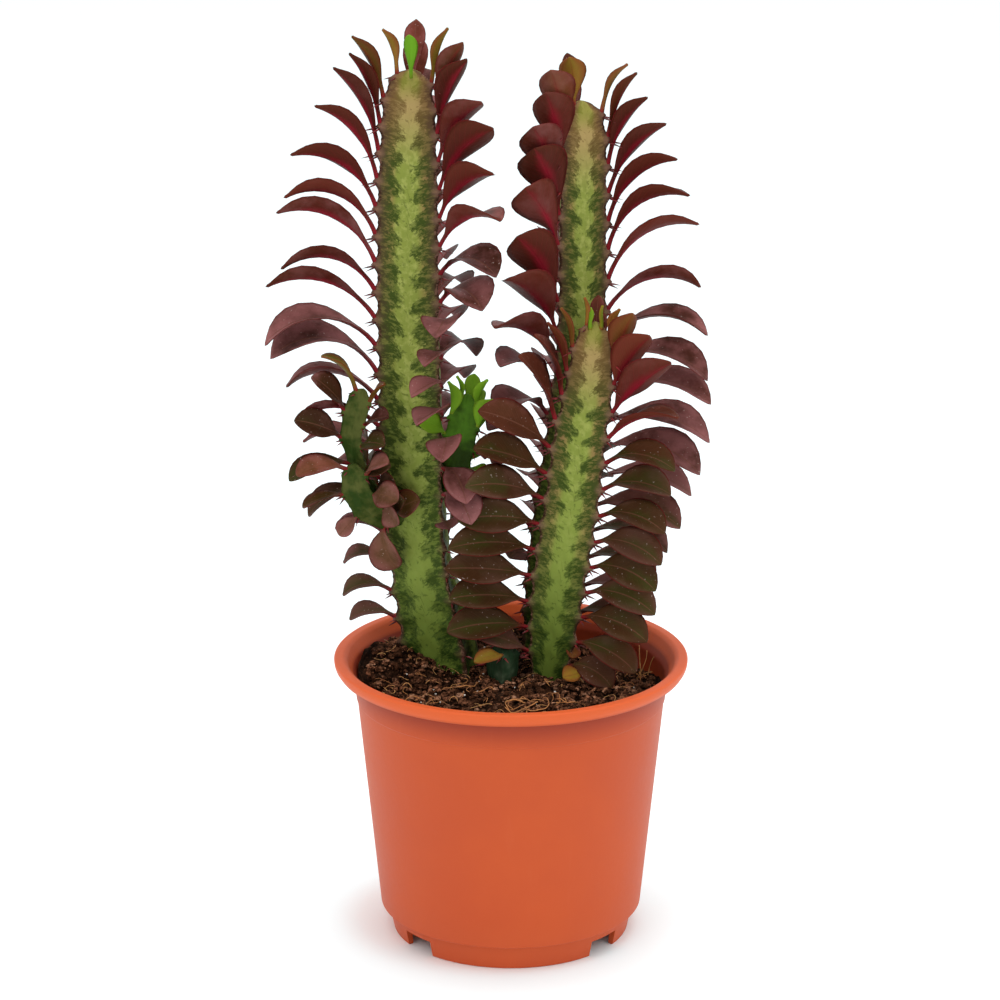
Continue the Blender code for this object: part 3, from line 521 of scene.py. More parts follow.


# dark and brown grains with warm and pale ones among them, darker in patches, with painted shade in the
# crevices
def soilFinish():
    finish = Finish("potting soil", soil)
    place = finish.place()
    patch = finish.noise(place, 55, 4, 0.65)
    grain = finish.noise(place, 520, 4, 0.7)
    fleck = finish.noise(place, 1300, 1, 0.4)
    shade = finish.noise(place, 75, 3, 0.6)
    # painted shade: the crumbs' hollows are darkened by their depth
    hollow = (finish.number("depth") + 0.8 * (grain - 0.5)).fall(-0.2, 0.3, 0.85)
    earth = finish.over(
        "dark", (grain.rise(0.42, 0.72), "brown"), (patch.rise(0.5, 0.75) * 0.55, "warm"),
        (fleck.rise(0.7, 0.76) * 0.6, "straw"), (shade.fall(0.40, 0.54, 0.75), "dark"), (hollow, "hollow"))
    return finish.close(earth, 0.93, (grain + 0.5 * patch, 0.0008, 0.9), "gloss")


# the same earth on loose crumbs, some of them warm and many dark
def clodFinish():
    finish = Finish("peat clods", soil)
    grain = finish.noise(finish.place(), 640, 4, 0.7)
    shade = finish.noise(finish.place(), 75, 3, 0.6)
    tone = finish.number("tone")
    warm = tone.rise(0.80, 1.0) * 0.7 * grain.rise(0.40, 0.6)
    clod = finish.over(
        "dark", (grain.rise(0.38, 0.72), "brown"), (warm, "warm"), (tone.fall(0.0, 0.5, 0.75), "dark"),
        (shade.fall(0.40, 0.54, 0.75), "dark"))
    return finish.close(clod, 0.92, (grain, 0.0006, 0.9), "gloss")


def perliteFinish():
    finish = Finish("perlite", soil)
    grain = finish.noise(finish.place(), 1500, 3, 0.6)
    white = finish.mix(grain.rise(0.35, 0.7), "cream", "white")
    return finish.close(white, 0.85, (grain, 0.0003, 0.7))


def fibreFinish():
    finish = Finish("root fibres", soil)
    shade = finish.noise(finish.place(), 300, 2, 0.5)
    root = finish.over(
        "root", (finish.number("tone").rise(0.25, 0.9), "straw"), (shade.rise(0.4, 0.7) * 0.6, "oldRoot"))
    return finish.close(root, 0.7)


# each stem: its centre line upwards and rib radius along it in millimetres, the first rib's
# direction at the foot and tip, the areoles' spacing, and for each rib its leaves by distance
# under the tip as distance, length, width, rise, fall, sweep, roll
mainStems = {
    "tall_stem": {
        "path": ((-29, 18, 126), (-32.5, 18, 145), (-39.5, 18, 178), (-42.5, 18, 215), (-44.3, 18, 260),
                 (-46, 18, 310), (-46.6, 18, 360), (-46.6, 18, 400), (-46.3, 18, 415)),
        "radius": (24, 23.5, 20.5, 20, 20.3, 19.8, 18.8, 16.5, 12.5),
        "turn": (172, 207),
        "spacing": 13.3,
        "ribs": (
            ((0, 25, 8, 88, 46, 0, 8), (9, 35, 10, 82, 42, 0, 14), (23, 39, 12, 84, 44, 0, 20),
             (36, 46, 13, 82, 34, 0, 24), (49, 49, 14, 81, 16, 0, 26), (62, 56, 16, 76, -6, 0, 28),
             (76, 54, 18, 74, -20, 0, 28), (90, 60, 18, 74, -16, 0, 26), (105, 55, 18, 66, -34, 0, 22),
             (117, 63, 19, 66, -22, 0, 22), (130, 60, 20, 64, -50, 0, -8), (143, 59, 22, 66, -40, 0, -12),
             (160, 50, 18, 60, -40, 0, 16), (190, 38, 15, 52, -38, 0, -12), (215, 27, 13, 54, -34, 0, -12),
             (285, 26, 12, 52, -34, 0, -12)),
            ((0, 27, 9, 84, 60, 0, -6), (14, 37, 12, 80, 50, 0, -22), (30, 42, 15, 78, 42, 0, -30),
             (45, 46, 19, 72, 26, 0, -34), (60, 48, 21, 70, 8, 0, -34), (75, 48, 22, 66, 4, 0, -26),
             (92, 44, 22, 58, -36, -6, 8), (112, 43, 23, 52, -46, -18, 12), (122, 36, 17, 46, -20, -80, 6),
             (168, 34, 17, 36, -20, -95, 6), (178, 30, 18, 34, -66, -10, 10),
             (205, 32, 18, 30, -70, 0, 10), (215, 0, 12, 30, -50, 0, 10)),
            ((0, 27, 9, 86, 56, 0, 0), (14, 36, 11, 80, 38, 0, 0), (45, 45, 15, 70, 5, 0, 0),
             (90, 54, 18, 62, -30, 0, 0), (150, 56, 18, 55, -48, 0, 0),
             (235, 40, 14, 50, -35, 0, 0), (245, 0, 12, 50, -35, 0, 0)),
        ),
    },
    "back_stem": {
        "path": ((15, 45, 126), (16.5, 45, 155), (20, 45, 191), (24.5, 45, 222), (29.5, 45, 262),
                 (32, 45, 301), (32, 45, 336), (32.5, 45, 382), (33, 45, 395.5)),
        "radius": (14, 15.5, 16, 16, 16, 16, 16, 15, 10.5),
        "turn": (222, 230),
        "spacing": 14.1,
        "ribs": (
            ((0, 24, 12, 84, 76, 0, 30), (14, 33, 18, 80, 68, 0, 48), (45, 42, 22, 76, 58, 0, 55),
             (85, 46, 23, 70, 42, 0, 50), (120, 47, 22, 60, 6, 0, 24), (150, 46, 20, 52, -30, 0, -6),
             (215, 36, 17, 46, -35, 0, -20), (225, 0, 14, 45, -35, 0, -20)),
            ((0, 24, 8, 84, 52, 0, -6), (6, 31, 9, 84, 44, 0, -14), (21, 36, 11, 84, 50, 0, -20),
             (35, 43, 13, 82, 40, 0, -24), (48, 48, 15, 78, 24, 0, -26), (62, 57, 17, 80, 0, 0, -24),
             (77, 55, 18, 76, -10, 0, -22), (92, 57, 19, 72, -18, 0, -22), (105, 55, 18, 64, -28, 0, -8),
             (120, 58, 19, 52, -42, 0, 16), (150, 64, 20, 44, -38, 0, 22), (190, 54, 18, 42, -36, 0, 22),
             (260, 36, 16, 42, -35, 0, 24)),
            ((0, 26, 10, 86, 66, 0, 0), (14, 35, 15, 80, 48, 0, 0), (45, 43, 18, 70, 18, 0, 0),
             (100, 48, 18, 60, -25, 0, 0), (215, 36, 15, 48, -35, 0, 0), (225, 0, 14, 48, -35, 0, 0)),
        ),
    },
    "front_stem": {
        "path": ((18, 3, 126), (20, 3, 140), (22.5, 3, 165), (25.3, 3, 186), (29.6, 3, 216),
                 (33, 3, 247), (36.2, 3, 266), (38.4, 3, 288), (39.3, 3, 299)),
        "radius": (9.5, 14, 16.5, 17, 17, 16.5, 15.5, 13, 9),
        "turn": (200, 206),
        "spacing": 12.8,
        "ribs": (
            ((0, 14, 5, 84, 66, 0, 0), (12, 24, 8, 78, 52, 0, 0), (28, 31, 13, 74, 44, 0, -10),
             (44, 42, 19, 68, 46, 0, -36), (58, 46, 21, 44, 2, 0, -46), (75, 42, 20, 36, -4, 0, -50),
             (88, 45, 21, 24, -12, 0, -52), (120, 43, 20, 16, -16, 0, -50), (165, 40, 19, 12, -12, 0, -46)),
            ((0, 12, 6, 84, 74, 0, 0), (10, 22, 13, 80, 66, 0, -26), (22, 32, 20, 76, 58, 0, -38),
             (36, 40, 22, 68, 40, 4, -34), (48, 44, 21, 60, 26, 6, -20), (58, 38, 19, 46, -30, 14, 26),
             (100, 40, 20, 34, -32, 14, 40), (140, 40, 19, 26, -34, 12, 42), (165, 33, 18, 10, -60, 10, 44)),
            ((0, 14, 6, 84, 66, 0, 0), (12, 23, 9, 76, 50, 0, 0), (40, 35, 15, 66, 20, 0, 0),
             (80, 42, 18, 55, -15, 0, 0), (165, 34, 16, 40, -30, 0, 0)),
        ),
    },
}

# side shoots, joined to the tall stem, and the offshoot in the soil
shoots = {
    "upper_side_shoot": {
        "path": ((-50, 17, 206), (-59, 15.5, 209), (-67, 12, 219), (-72.5, 8.5, 233), (-74.5, 6.5, 246),
                 (-72, 6, 258), (-70, 6, 266)),
        "radius": (4.5, 4.8, 5, 5.6, 7, 8, 6.8),
        "turn": (180, 200),
        "spacing": 13.0,
        "ribs": (
            ((0, 28, 12, 64, 8, 0, -15), (13, 26, 15, 52, 20, 0, -48), (26, 27, 16, 40, 6, 0, -46),
             (40, 34, 14, 36, -30, 0, -12), (80, 30, 14, 40, -40, 0, -30)),
            ((0, 14, 8, 78, 50, 0, 20), (20, 19, 14, 38, 5, 0, 35), (80, 20, 14, 30, -25, 0, 40)),
            ((0, 20, 11, 70, 40, 20, -10), (20, 28, 14, 55, -10, 40, -20), (80, 28, 13, 40, -25, 30, 0)),
        ),
    },
    "lower_side_shoot": {
        "path": ((-50, 14, 203), (-58.5, 12, 203.5), (-65, 8, 207), (-70, 4, 214.5), (-73, 1.5, 223),
                 (-74, 0.5, 231)),
        "radius": (5, 6.5, 8, 9.2, 9, 7.4),
        "turn": (190, 205),
        "spacing": 13.0,
        "ribs": (
            ((0, 28, 13, 34, -18, 0, -25), (13, 22, 10, 24, -14, 0, -8), (24, 13, 10, 0, -20, 0, -42),
             (34, 23, 19, -8, -72, 0, -36), (60, 20, 17, -10, -70, 0, -30)),
            ((0, 17, 12, 66, 20, 10, 35), (18, 18, 15, 0, -62, 0, 20), (60, 18, 14, -10, -60, 0, 10)),
            ((0, 28, 13, 50, -30, 40, 0), (15, 28, 13, 45, -30, 30, 0), (60, 22, 13, 20, -30, 0, 0)),
        ),
    },
    "middle_shoot": {
        "path": ((-38, 14, 214), (-31, 12, 217), (-26, 9, 226), (-23.5, 5.5, 239), (-21.5, 3, 253),
                 (-20.5, 2, 264.5)),
        "radius": (5, 6.5, 9, 10.4, 10, 6.6),
        "turn": (178, 200),
        "spacing": 11.0,
        "ribs": (
            ((0, 12, 6, 85, 64, 0, 0), (6, 23, 12, 84, 66, 0, 62), (16, 20, 14, 58, 20, 0, -46),
             (30, 14, 9, 40, -10, 0, -20), (50, 14, 9, 40, -10, 0, 0)),
            ((0, 13, 7, 85, 60, 0, 0), (8, 25, 13, 66, 46, 0, -28), (30, 18, 10, 45, 0, 0, 0),
             (50, 0, 10, 40, -10, 0, 0)),
            ((0, 13, 7, 85, 55, 0, 0), (30, 24, 12, 50, 0, 0, 0), (40, 0, 12, 50, 0, 0, 0)),
        ),
    },
    "soil_offshoot": {
        "path": ((-4, -5, 126), (-4, -5, 131), (-4, -5, 138), (-4.2, -5, 144.5)),
        "radius": (8.5, 10.2, 10.2, 6.8),
        "turn": (150, 150),
        "spacing": 12.0,
        "ribs": (
            ((0, 12, 8, 40, 5, 0, -20), (30, 12, 8, 30, 0, 0, 0)),
            ((0, 19, 10, 34, -6, -75, -45), (30, 12, 8, 30, 0, 0, 0)),
            ((0, 12, 7, 50, 20, 0, 0), (30, 12, 8, 30, 0, 0, 0)),
        ),
    },
}

nodes = {"tall_stem": ("tall_stem", "upper_side_shoot", "lower_side_shoot", "middle_shoot"),
         "back_stem": ("back_stem",), "front_stem": ("front_stem",), "soil_offshoot": ("soil_offshoot",)}

# the section's ribs and faces, and the teeth along the ribs; lengths in metres, angles in degrees
teeth = {
    "height": 0.0036, "second": 0.16, "width": 15, "faceRadius": 0.66, "faceAngle": 36,
    "crowding": 0.35, "plainFoot": 0.007, "overSoil": 0.004, "rootDepth": 0.024, "hollow": 0.0006,
    "rowsPerAreole": 12, "ripple": 0.00028,
    "sector": (-54, -47, -39, -30, -22, -15, -9, -4.5, 0, 4.5, 9, 15, 22, 30, 39, 47, 54, 60.0),
    # the dome over the tip, from its top down, as height and share of the section
    "crown": ((0.002, 0.28), (0.0016, 0.55), (0.0009, 0.8)),
}


class Stem:
    # a smooth centre line through the given points; distances run down from the tip
    def __init__(self, values, rooted):
        path = np.array(values["path"]) / 1000
        self.radiusPoints = np.array(values["radius"]) / 1000
        self.rows = [np.array(rows, dtype=float) for rows in values["ribs"]]
        self.spacing = values["spacing"] / 1000
        self.turn = np.radians(values["turn"])
        self.rooted = rooted
        ends = np.vstack([2 * path[0] - path[1], path, 2 * path[-1] - path[-2]])
        share = np.linspace(0, 1, 12, endpoint=False)[:, None]
        curve = [0.5 * (2 * b + (c - a) * share + (2 * a - 5 * b + 4 * c - d) * share ** 2
                        + (3 * b - a - 3 * c + d) * share ** 3)
                 for a, b, c, d in zip(ends, ends[1:], ends[2:], ends[3:])]
        self.line = np.vstack(curve + [path[-1:]])
        steps = np.linalg.norm(np.diff(self.line, axis=0), axis=1)
        self.up = np.concatenate([[0], np.cumsum(steps)])
        self.length = self.up[-1]
        self.knots = np.interp(np.arange(len(path)), np.arange(len(self.line)) / 12, self.up)
        self.ribbed = self.length - (teeth["plainFoot"] if rooted else 0.0)

    # centre line, its direction, and two directions across it
    def at(self, down):
        up = np.clip(self.length - np.atleast_1d(down), 0, self.length)
        above, below = (between(np.clip(up + step, 0, self.length), self.up, self.line)
                        for step in (0.002, -0.002))
        tangent = unit(above - below)
        side = unit(np.cross(np.array([0.0, 1.0, 0.0]), tangent))
        return between(up, self.up, self.line), tangent, side, np.cross(tangent, side)

    # directions across the stem, at each distance down by each angle from the first rib
    def spread(self, down, angles):
        _, _, side, depth = self.at(down)
        share = np.clip(1 - np.atleast_1d(down) / self.length, 0, 1)
        turn = (self.turn[0] + (self.turn[1] - self.turn[0]) * share)[:, None] + angles
        return turned(side[:, None], depth[:, None], turn[..., None])

    def outward(self, down, rib):
        return self.spread(down, rib * math.tau / 3)[:, 0]

    def fullRadius(self, down):
        up = self.length - np.atleast_1d(down)
        return np.interp(up, self.knots, self.radiusPoints) * np.interp(down, (0, 0.002), (0.72, 1))

    # areoles draw together under the tip by a falling exponential
    def downAt(self, index):
        index = np.atleast_1d(index)
        return self.spacing * (index - teeth["crowding"] * (1 - np.exp(-index / 1.5)))

    def indexAt(self, down):
        index = np.linspace(0, 40, 401)
        return np.interp(np.atleast_1d(down), self.downAt(index), index)

    def away(self, down, rib):
        phase = self.indexAt(down) - rib / 3
        return np.abs(phase - np.round(phase))

    def toothHeight(self, down):
        return teeth["height"] * np.clip(self.fullRadius(down) / 0.016, 0.4, 1)

    def ribRadius(self, down, rib):
        full = self.fullRadius(down)
        height = self.toothHeight(down)
        hollow = full - height * (1 - np.clip(1 - self.away(down, rib) / 0.3, 0, 1))
        return np.where(np.atleast_1d(down) > self.ribbed, full - 0.6 * height, hollow)

    def areoles(self, rib):
        downs = self.downAt(np.arange(40) + rib / 3)
        downs = downs[downs < self.ribbed - 0.001]
        centre = self.at(downs)[0] + self.outward(downs, rib) * self.fullRadius(downs)[:, None]
        return downs[centre[:, 2] > soilHeight(centre[:, 0], centre[:, 1]) + teeth["overSoil"]]


# a plain nine-sided stem through rings at thirds of the spacing, which leaves are kept clear of
def plainStem(stem):
    last = float(stem.indexAt(stem.ribbed)[0])
    downs = stem.downAt(np.arange(0.0, last, 1 / 3))
    downs = np.append(downs, [stem.ribbed + 0.0005, stem.length] if stem.rooted else stem.length)
    radii = np.column_stack([stem.ribRadius(downs, rib) for rib in range(3)])
    face = radii.mean(axis=1) * teeth["faceRadius"]
    edge = teeth["faceAngle"]
    angles = np.radians([a + 120 * rib for rib in range(3) for a in (0, edge, 120 - edge)])
    sizes = np.column_stack([s for rib in range(3) for s in (radii[:, rib], face, face)])
    rings = stem.at(downs)[0][:, None] + stem.spread(downs, angles) * sizes[..., None]
    if stem.rooted:
        rings = np.concatenate([rings, rings[-1:] - [0, 0, teeth["rootDepth"]]])
    quads = gridFaces(len(rings), 9)
    return rings.reshape(-1, 3), quads[:, [0, 1, 2, 0, 2, 3]].reshape(-1, 3).tolist()


# the stem's skin over distance and angle: between ribs the section's straight edges, hollowed a
# little beside each rib, plus a tooth at each areole and a small one midway, as bells across
# the rib; the tip closes in a low dome
def stemSkin(stem):
    theta = np.concatenate([np.array(teeth["sector"]) + 120 * rib for rib in range(3)])
    rib = np.round(theta / 120 - 1e-9).astype(int) % 3
    away = np.abs(theta - 120 * np.round(theta / 120 - 1e-9))
    last = float(stem.indexAt(stem.length)[0])
    downs = np.append(stem.downAt(np.arange(0.0, last, 1 / teeth["rowsPerAreole"])), stem.length)
    full, height = stem.fullRadius(downs), stem.toothHeight(downs)
    foot = smoothStep(stem.ribbed - downs, 0.0, 0.008) if stem.rooted else np.ones(len(downs))
    ridge = (full - height * (0.55 + 0.3 * foot))[:, None]
    flat = (teeth["faceRadius"] * (full - 0.667 * height))[:, None]
    edge = teeth["faceAngle"]
    angle, rest = np.radians(away), np.radians(np.clip(edge - away, 0, None))
    near = ridge * flat * math.sin(math.radians(edge)) / (ridge * np.sin(angle) + flat * np.sin(rest) + 1e-9)
    far = flat * math.cos(math.radians(60 - edge)) / np.cos(np.radians(60 - away))
    hollow = teeth["hollow"] * np.sin(math.pi * np.clip(away / edge, 0, 1)) * (full / 0.018)[:, None]
    byRib = np.stack([stem.away(downs, r) for r in range(3)], axis=1)[:, rib]
    tooth = np.clip(1 - byRib / 0.5, 0, 1) ** 1.7
    small = teeth["second"] * np.exp(-((byRib - 0.5) / 0.07) ** 2)
    bell = np.exp(-(away / teeth["width"]) ** 2)
    index = stem.indexAt(downs)[:, None] - rib / 3
    ripple = teeth["ripple"] * np.cos(math.tau * (index + away / 60 * 0.45)) * smoothStep(away, 8, 30)
    radius = np.where(away < edge, near, far) - hollow + (height * foot)[:, None] * (tooth + small) * bell
    radius = radius + ripple * foot[:, None]
    centre, tangent, _, _ = stem.at(downs)
    spread = stem.spread(downs, np.radians(theta))
    rings = centre[:, None] + spread * radius[..., None]
    domes = [centre[0] + tangent[0] * rise + spread[0] * radius[0][:, None] * share
             for rise, share in teeth["crown"]]
    rings = np.concatenate([np.stack(domes), rings])
    downs = np.concatenate([np.zeros(len(domes)), downs])
    # crest marks the tooth tips, where the finish lays the ribs' pink margin colour, partly as painted
    # highlight
    crest = np.vstack([np.zeros((len(domes), len(theta))), (0.3 + 0.7 * tooth) * bell])
    if stem.rooted:
        rings = np.concatenate([rings, rings[-1:] - [0, 0, 0.6 * teeth["rootDepth"]]])
        downs = np.append(downs, stem.length)
        crest = np.vstack([crest, crest[-1:]])
    rows, columns = rings.shape[:2]
    poles = rings[[0, -1]].mean(axis=1) + [tangent[0] * 0.0001, np.zeros(3)]
    numbers = {
        "rib": np.append(np.tile(away / 60, rows), [1, 1]),
        "down": np.append(np.repeat(downs, columns), [0, stem.length]),
        "crest": np.append(crest, [0, 0]),
        "tooth": np.append(stem.indexAt(downs)[:, None] - rib / 3, [0, 0]),
        "high": np.append(np.repeat((stem.length - downs), columns), [stem.length, 0]),
    }
    return np.vstack([rings.reshape(-1, 3), poles]), shellFaces(rows, columns), numbers


# a leaf's draws, faces and clearances; rows are shares of the way along and of the width, and bends
# are tried in turn, to both sides, as sweep and rise in degrees and share of the length
leaf = {
    "seed": 7, "fold": 24, "clearance": 0.0013, "smallLeaf": 0.045, "leastLeaf": 0.006,
    "largeRows": ((0.0, 0.3, 0.6, 0.84, 1.0), (0.0, 0.34, 1.0, 0.76, 0.0)),
    "smallRows": ((0.0, 0.4, 0.76, 1.0), (0.0, 0.7, 0.94, 0.0)),
    "order": (("tall_stem", 0), ("back_stem", 1), ("front_stem", 0), ("front_stem", 1),
              ("tall_stem", 1), ("back_stem", 0), ("middle_shoot", 0), ("middle_shoot", 1),
              ("upper_side_shoot", 0), ("lower_side_shoot", 0), ("soil_offshoot", 1),
              ("back_stem", 2), ("tall_stem", 2), ("front_stem", 2), ("upper_side_shoot", 2),
              ("upper_side_shoot", 1), ("lower_side_shoot", 1), ("lower_side_shoot", 2),
              ("middle_shoot", 2)),
    "bends": ((0, 0, 1), (10, 0, 1), (0, 10, 1), (0, -10, 1), (20, 0, 1), (12, 12, 0.95), (32, 0, 0.95),
              (0, 18, 0.85), (20, 15, 0.85), (45, 5, 0.85), (58, 10, 0.75), (0, 22, 0.65), (30, 20, 0.65),
              (70, 10, 0.6), (0, 25, 0.45), (40, 20, 0.45)),
    "thick": 0.0006, "keel": 0.0006, "stalk": 0.00095, "rootIn": 0.0022,
    "rows": (0.02, 0.07, 0.13, 0.2, 0.28, 0.37, 0.46, 0.55, 0.64, 0.73, 0.81, 0.88, 0.94, 0.98),
    "columns": (-1, -0.74, -0.4, 0, 0.4, 0.74, 1),
}


# a leaf's length, width, rise, fall, sweep and roll, read off its rib's table and varied a little
def leafValues(rows, down, draw):
    values = between([down * 1000], rows[:, 0], rows[:, 1:])[0]
    return [values[0] * (1 + 0.05 * draw[0]) / 1000, values[1] * (1 + 0.06 * draw[1]) / 1000,
            *(values[2:] + [4, 8, 8, 10] * draw[2:])]


# along a leaf, its centre line and the directions across and above it: its slope to the stem runs
# evenly from rise to fall, its heading swings to the sweep with the square root of the way along,
# and it rolls over its first two fifths
def leafFrame(root, tangent, outward, values, shares):
    length, _, rise, fall, sweep, roll = values
    fine = np.linspace(0, 1, 33)
    slope = np.radians(rise + (fall - rise) * fine)
    swing = np.radians(sweep) * np.sqrt(fine)
    ahead = turned(outward, np.cross(tangent, outward), swing[:, None])
    heading = turned(ahead, tangent, slope[:, None])
    steps = (heading[1:] + heading[:-1]) / 2 * length / 32
    line = np.vstack([root, root + np.cumsum(steps, axis=0)])
    centre, along, level = (between(shares, fine, part) for part in (line, heading, np.cross(tangent, ahead)))
    above = np.cross(along, level)
    roll = (np.radians(roll) * np.clip(shares / 0.4, 0, 1))[:, None]
    return centre, turned(level, above, roll), turned(above, -level, roll)


# the leaf as a folded sheet of a few rows, for keeping leaves clear of each other
def plainLeaf(root, tangent, outward, values, lift=0.0):
    rows = leaf["largeRows"] if values[0] > leaf["smallLeaf"] else leaf["smallRows"]
    shares, widths = np.array(rows)
    centre, across, above = leafFrame(root, tangent, outward, values, shares)
    half = (values[1] / 2 * widths)[:, None]
    fold = math.radians(leaf["fold"])
    centre = centre + above * lift
    left, right = (centre + (side * across * math.cos(fold) + above * math.sin(fold)) * half
                   for side in (-1, 1))
    inner = np.stack([left, centre, right], axis=1)[1:-1].reshape(-1, 3)
    return np.vstack([centre[:1], inner, centre[-1:]])


def plainLeafFaces(count):
    tip = count - 1
    faces = [(0, 2, 1), (0, 3, 2)]
    for left in range(1, tip - 3, 3):
        mid, right = left + 1, left + 2
        faces += [(left, mid, left + 3), (mid, mid + 3, left + 3),
                  (mid, right, mid + 3), (right, right + 3, mid + 3)]
    return faces + [(tip - 3, tip - 2, tip), (tip - 2, tip - 1, tip)]


# faces that join the edges of two such sheets
def plainLeafEdges(count):
    loop = [0] + list(range(3, count - 1, 3)) + [count - 1] + list(range(count - 4, 0, -3))
    return [face for a, b in zip(loop, loop[1:] + loop[:1])
            for face in ((a, b, b + count), (a, b + count, a + count))]


def tree(points, faces):
    return BVHTree.FromPolygons([Vector(p) for p in points], [tuple(f) for f in faces])


# the first bend of a leaf that keeps it clear of everything placed before, or nothing; only a
# leaf's blade must clear its own stem
def fitLeaf(root, tangent, outward, values, name, placed, obstacles):
    bends = [(side * sweep, rise, share) for sweep, rise, share in leaf["bends"]
             for side in ((1, -1) if sweep else (1,))]
    for sweep, rise, share in bends:
        tried = [values[0] * share, values[1] * (0.5 + 0.5 * share), values[2] + rise,
                 values[3] + rise, values[4] + sweep, values[5]]
        points = plainLeaf(root, tangent, outward, tried)
        count = len(points)
        thin = plainLeafFaces(count)
        thick = thin + [tuple(i + count for i in f) for f in thin] + plainLeafEdges(count)
        stalk = 4 if tried[0] > leaf["smallLeaf"] else 1
        blade = [face for face in thick if min(i % count for i in face) >= stalk]
        both = np.vstack([plainLeaf(root, tangent, outward, tried, leaf["clearance"]),
                          plainLeaf(root, tangent, outward, tried, -leaf["clearance"])])
        low, high = both.min(axis=0), both.max(axis=0)
        whole = tree(both, thick)
        if any(np.all(low < top) and np.all(high > bottom) and whole.overlap(other)
               for other, bottom, top in placed):
            continue
        far = tree(both, blade)
        if any((far if owner == name else whole).overlap(other) for owner, other in obstacles):
            continue
        return tried, points
    return None


def nodeTree(name):
    mesh = frame["nodes"][name].data
    points = np.array([vertex.co for vertex in mesh.vertices]) - potAxis
    return tree(points, [polygon.vertices for polygon in mesh.polygons])


def placeLeaves(stems):
    draws = np.random.RandomState(leaf["seed"])
    obstacles = [(name, nodeTree(name)) for name in ("pot", "soil")]
    obstacles += [(name, tree(*plainStem(stem))) for name, stem in stems.items()]
    placed = []
    leaves = {name: [] for name in stems}
    for name, rib in leaf["order"]:
        stem = stems[name]
        for down in stem.areoles(rib):
            draw = draws.uniform(-1, 1, 6)
            values = leafValues(stem.rows[rib], down, draw)
            if values[0] < leaf["leastLeaf"]:
                continue
            centre, tangent, _, _ = stem.at(down)
            outward = stem.outward(down, rib)[0]
            root = centre[0] + outward * (stem.ribRadius(down, rib)[0] - leaf["rootIn"])
            fitted = fitLeaf(root, tangent[0], outward, values, name, placed, obstacles)
            if fitted is None:
                continue
            values, points = fitted
            placed.append((tree(points, plainLeafFaces(len(points))), points.min(axis=0), points.max(axis=0)))
            leaves[name].append((root, tangent[0], outward, values, down, draw, rib))
    return leaves


# a leaf's skin over the way along and across: the half width is a power of the way along times a
# power of what is left, raised to the stalk's width; the blade folds up from its midrib in a
# soft V with waved edges; the skin crosses the upper face and comes back underneath
def leafSkin(root, tangent, outward, values, phase, powers):
    rows, columns = np.array(leaf["rows"]), np.array(leaf["columns"])
    rise, drop = powers
    free = np.clip((rows - 0.06) / 0.94, 1e-6, 1)
    peak = rise / (rise + drop)
    shape = free ** rise * (1 - free) ** drop / (peak ** rise * (1 - peak) ** drop)
    half = np.sqrt((values[1] / 2 * shape) ** 2 + (leaf["stalk"] * (1 - rows) ** 0.4) ** 2)[:, None]
    blade, left = shape[:, None], (1 - rows)[:, None]
    centre, across, above = leafFrame(root, tangent, outward, values, rows)
    t = np.concatenate([columns, columns[-2:0:-1]])
    inner = np.ones(len(columns) - 2)
    side = np.concatenate([[0], inner, [0], -inner])
    fold = math.radians(leaf["fold"])
    lift = half * math.sin(fold) * np.abs(t) ** 1.35 * blade ** 0.4
    wave = values[1] * 0.022 * np.sin(rows * 8 + 6 * phase)[:, None] * t ** 2 * np.sign(t + 1e-9) * blade
    thick = leaf["thick"] / 2 * (1 - 0.65 * t ** 2) + leaf["stalk"] * 0.6 * (1 - blade) * (1 - t ** 2)
    keel = leaf["keel"] * np.exp(-(t / 0.2) ** 2) * (side < 0) * left
    height = lift + wave + side * (thick + keel)
    points = (centre[:, None] + across[:, None] * (t * half * math.cos(fold))[..., None]
              + above[:, None] * height[..., None])
    ends = leafFrame(root, tangent, outward, values, np.array([0.0, 1.0]))[0]
    uv = np.stack(np.broadcast_arrays(t / 2 + 0.5, rows[:, None]), axis=-1).reshape(-1, 2)
    return (np.vstack([points.reshape(-1, 3), ends]), np.vstack([uv, [[0.5, 0], [0.5, 1]]]),
            np.append(np.tile((side + 1) / 2, len(rows)), [0.5, 0.5]))


# how a stem's leaves turn with the distance under its tip: green at the tip until here, olive
# from here on, in millimetres; how far they are mauve above, partly as painted sheen, and red; and the leaf's
# outline
leafTones = {
    "tall_stem": {"young": 9, "olive": (190, 260), "mauve": 0.6, "red": 0.35, "powers": (2.1, 1.05),
                  "broad": 1.1},
    "back_stem": {"young": 8, "olive": (120, 260), "mauve": 0.6, "red": 0.45, "powers": (2.0, 0.95),
                  "broad": 1.18},
    "front_stem": {"young": 12, "olive": (25, 90), "mauve": 0.3, "red": 0.9, "powers": (1.35, 0.85)},
    "upper_side_shoot": {"young": 4, "olive": (0, 30), "mauve": 0.3, "red": 0.3, "powers": (1.3, 0.8)},
    "lower_side_shoot": {"bud": 0.12, "olive": (20, 80), "mauve": 0.7, "red": 0.3, "powers": (1.1, 0.7)},
    "middle_shoot": {"bud": 1.32, "olive": (20, 60), "mauve": 0.1, "red": 0.0, "powers": (1.3, 0.8)},
    "soil_offshoot": {"young": 20, "olive": (5, 20), "mauve": 0.1, "red": 1.0, "powers": (1.1, 0.7)},
}


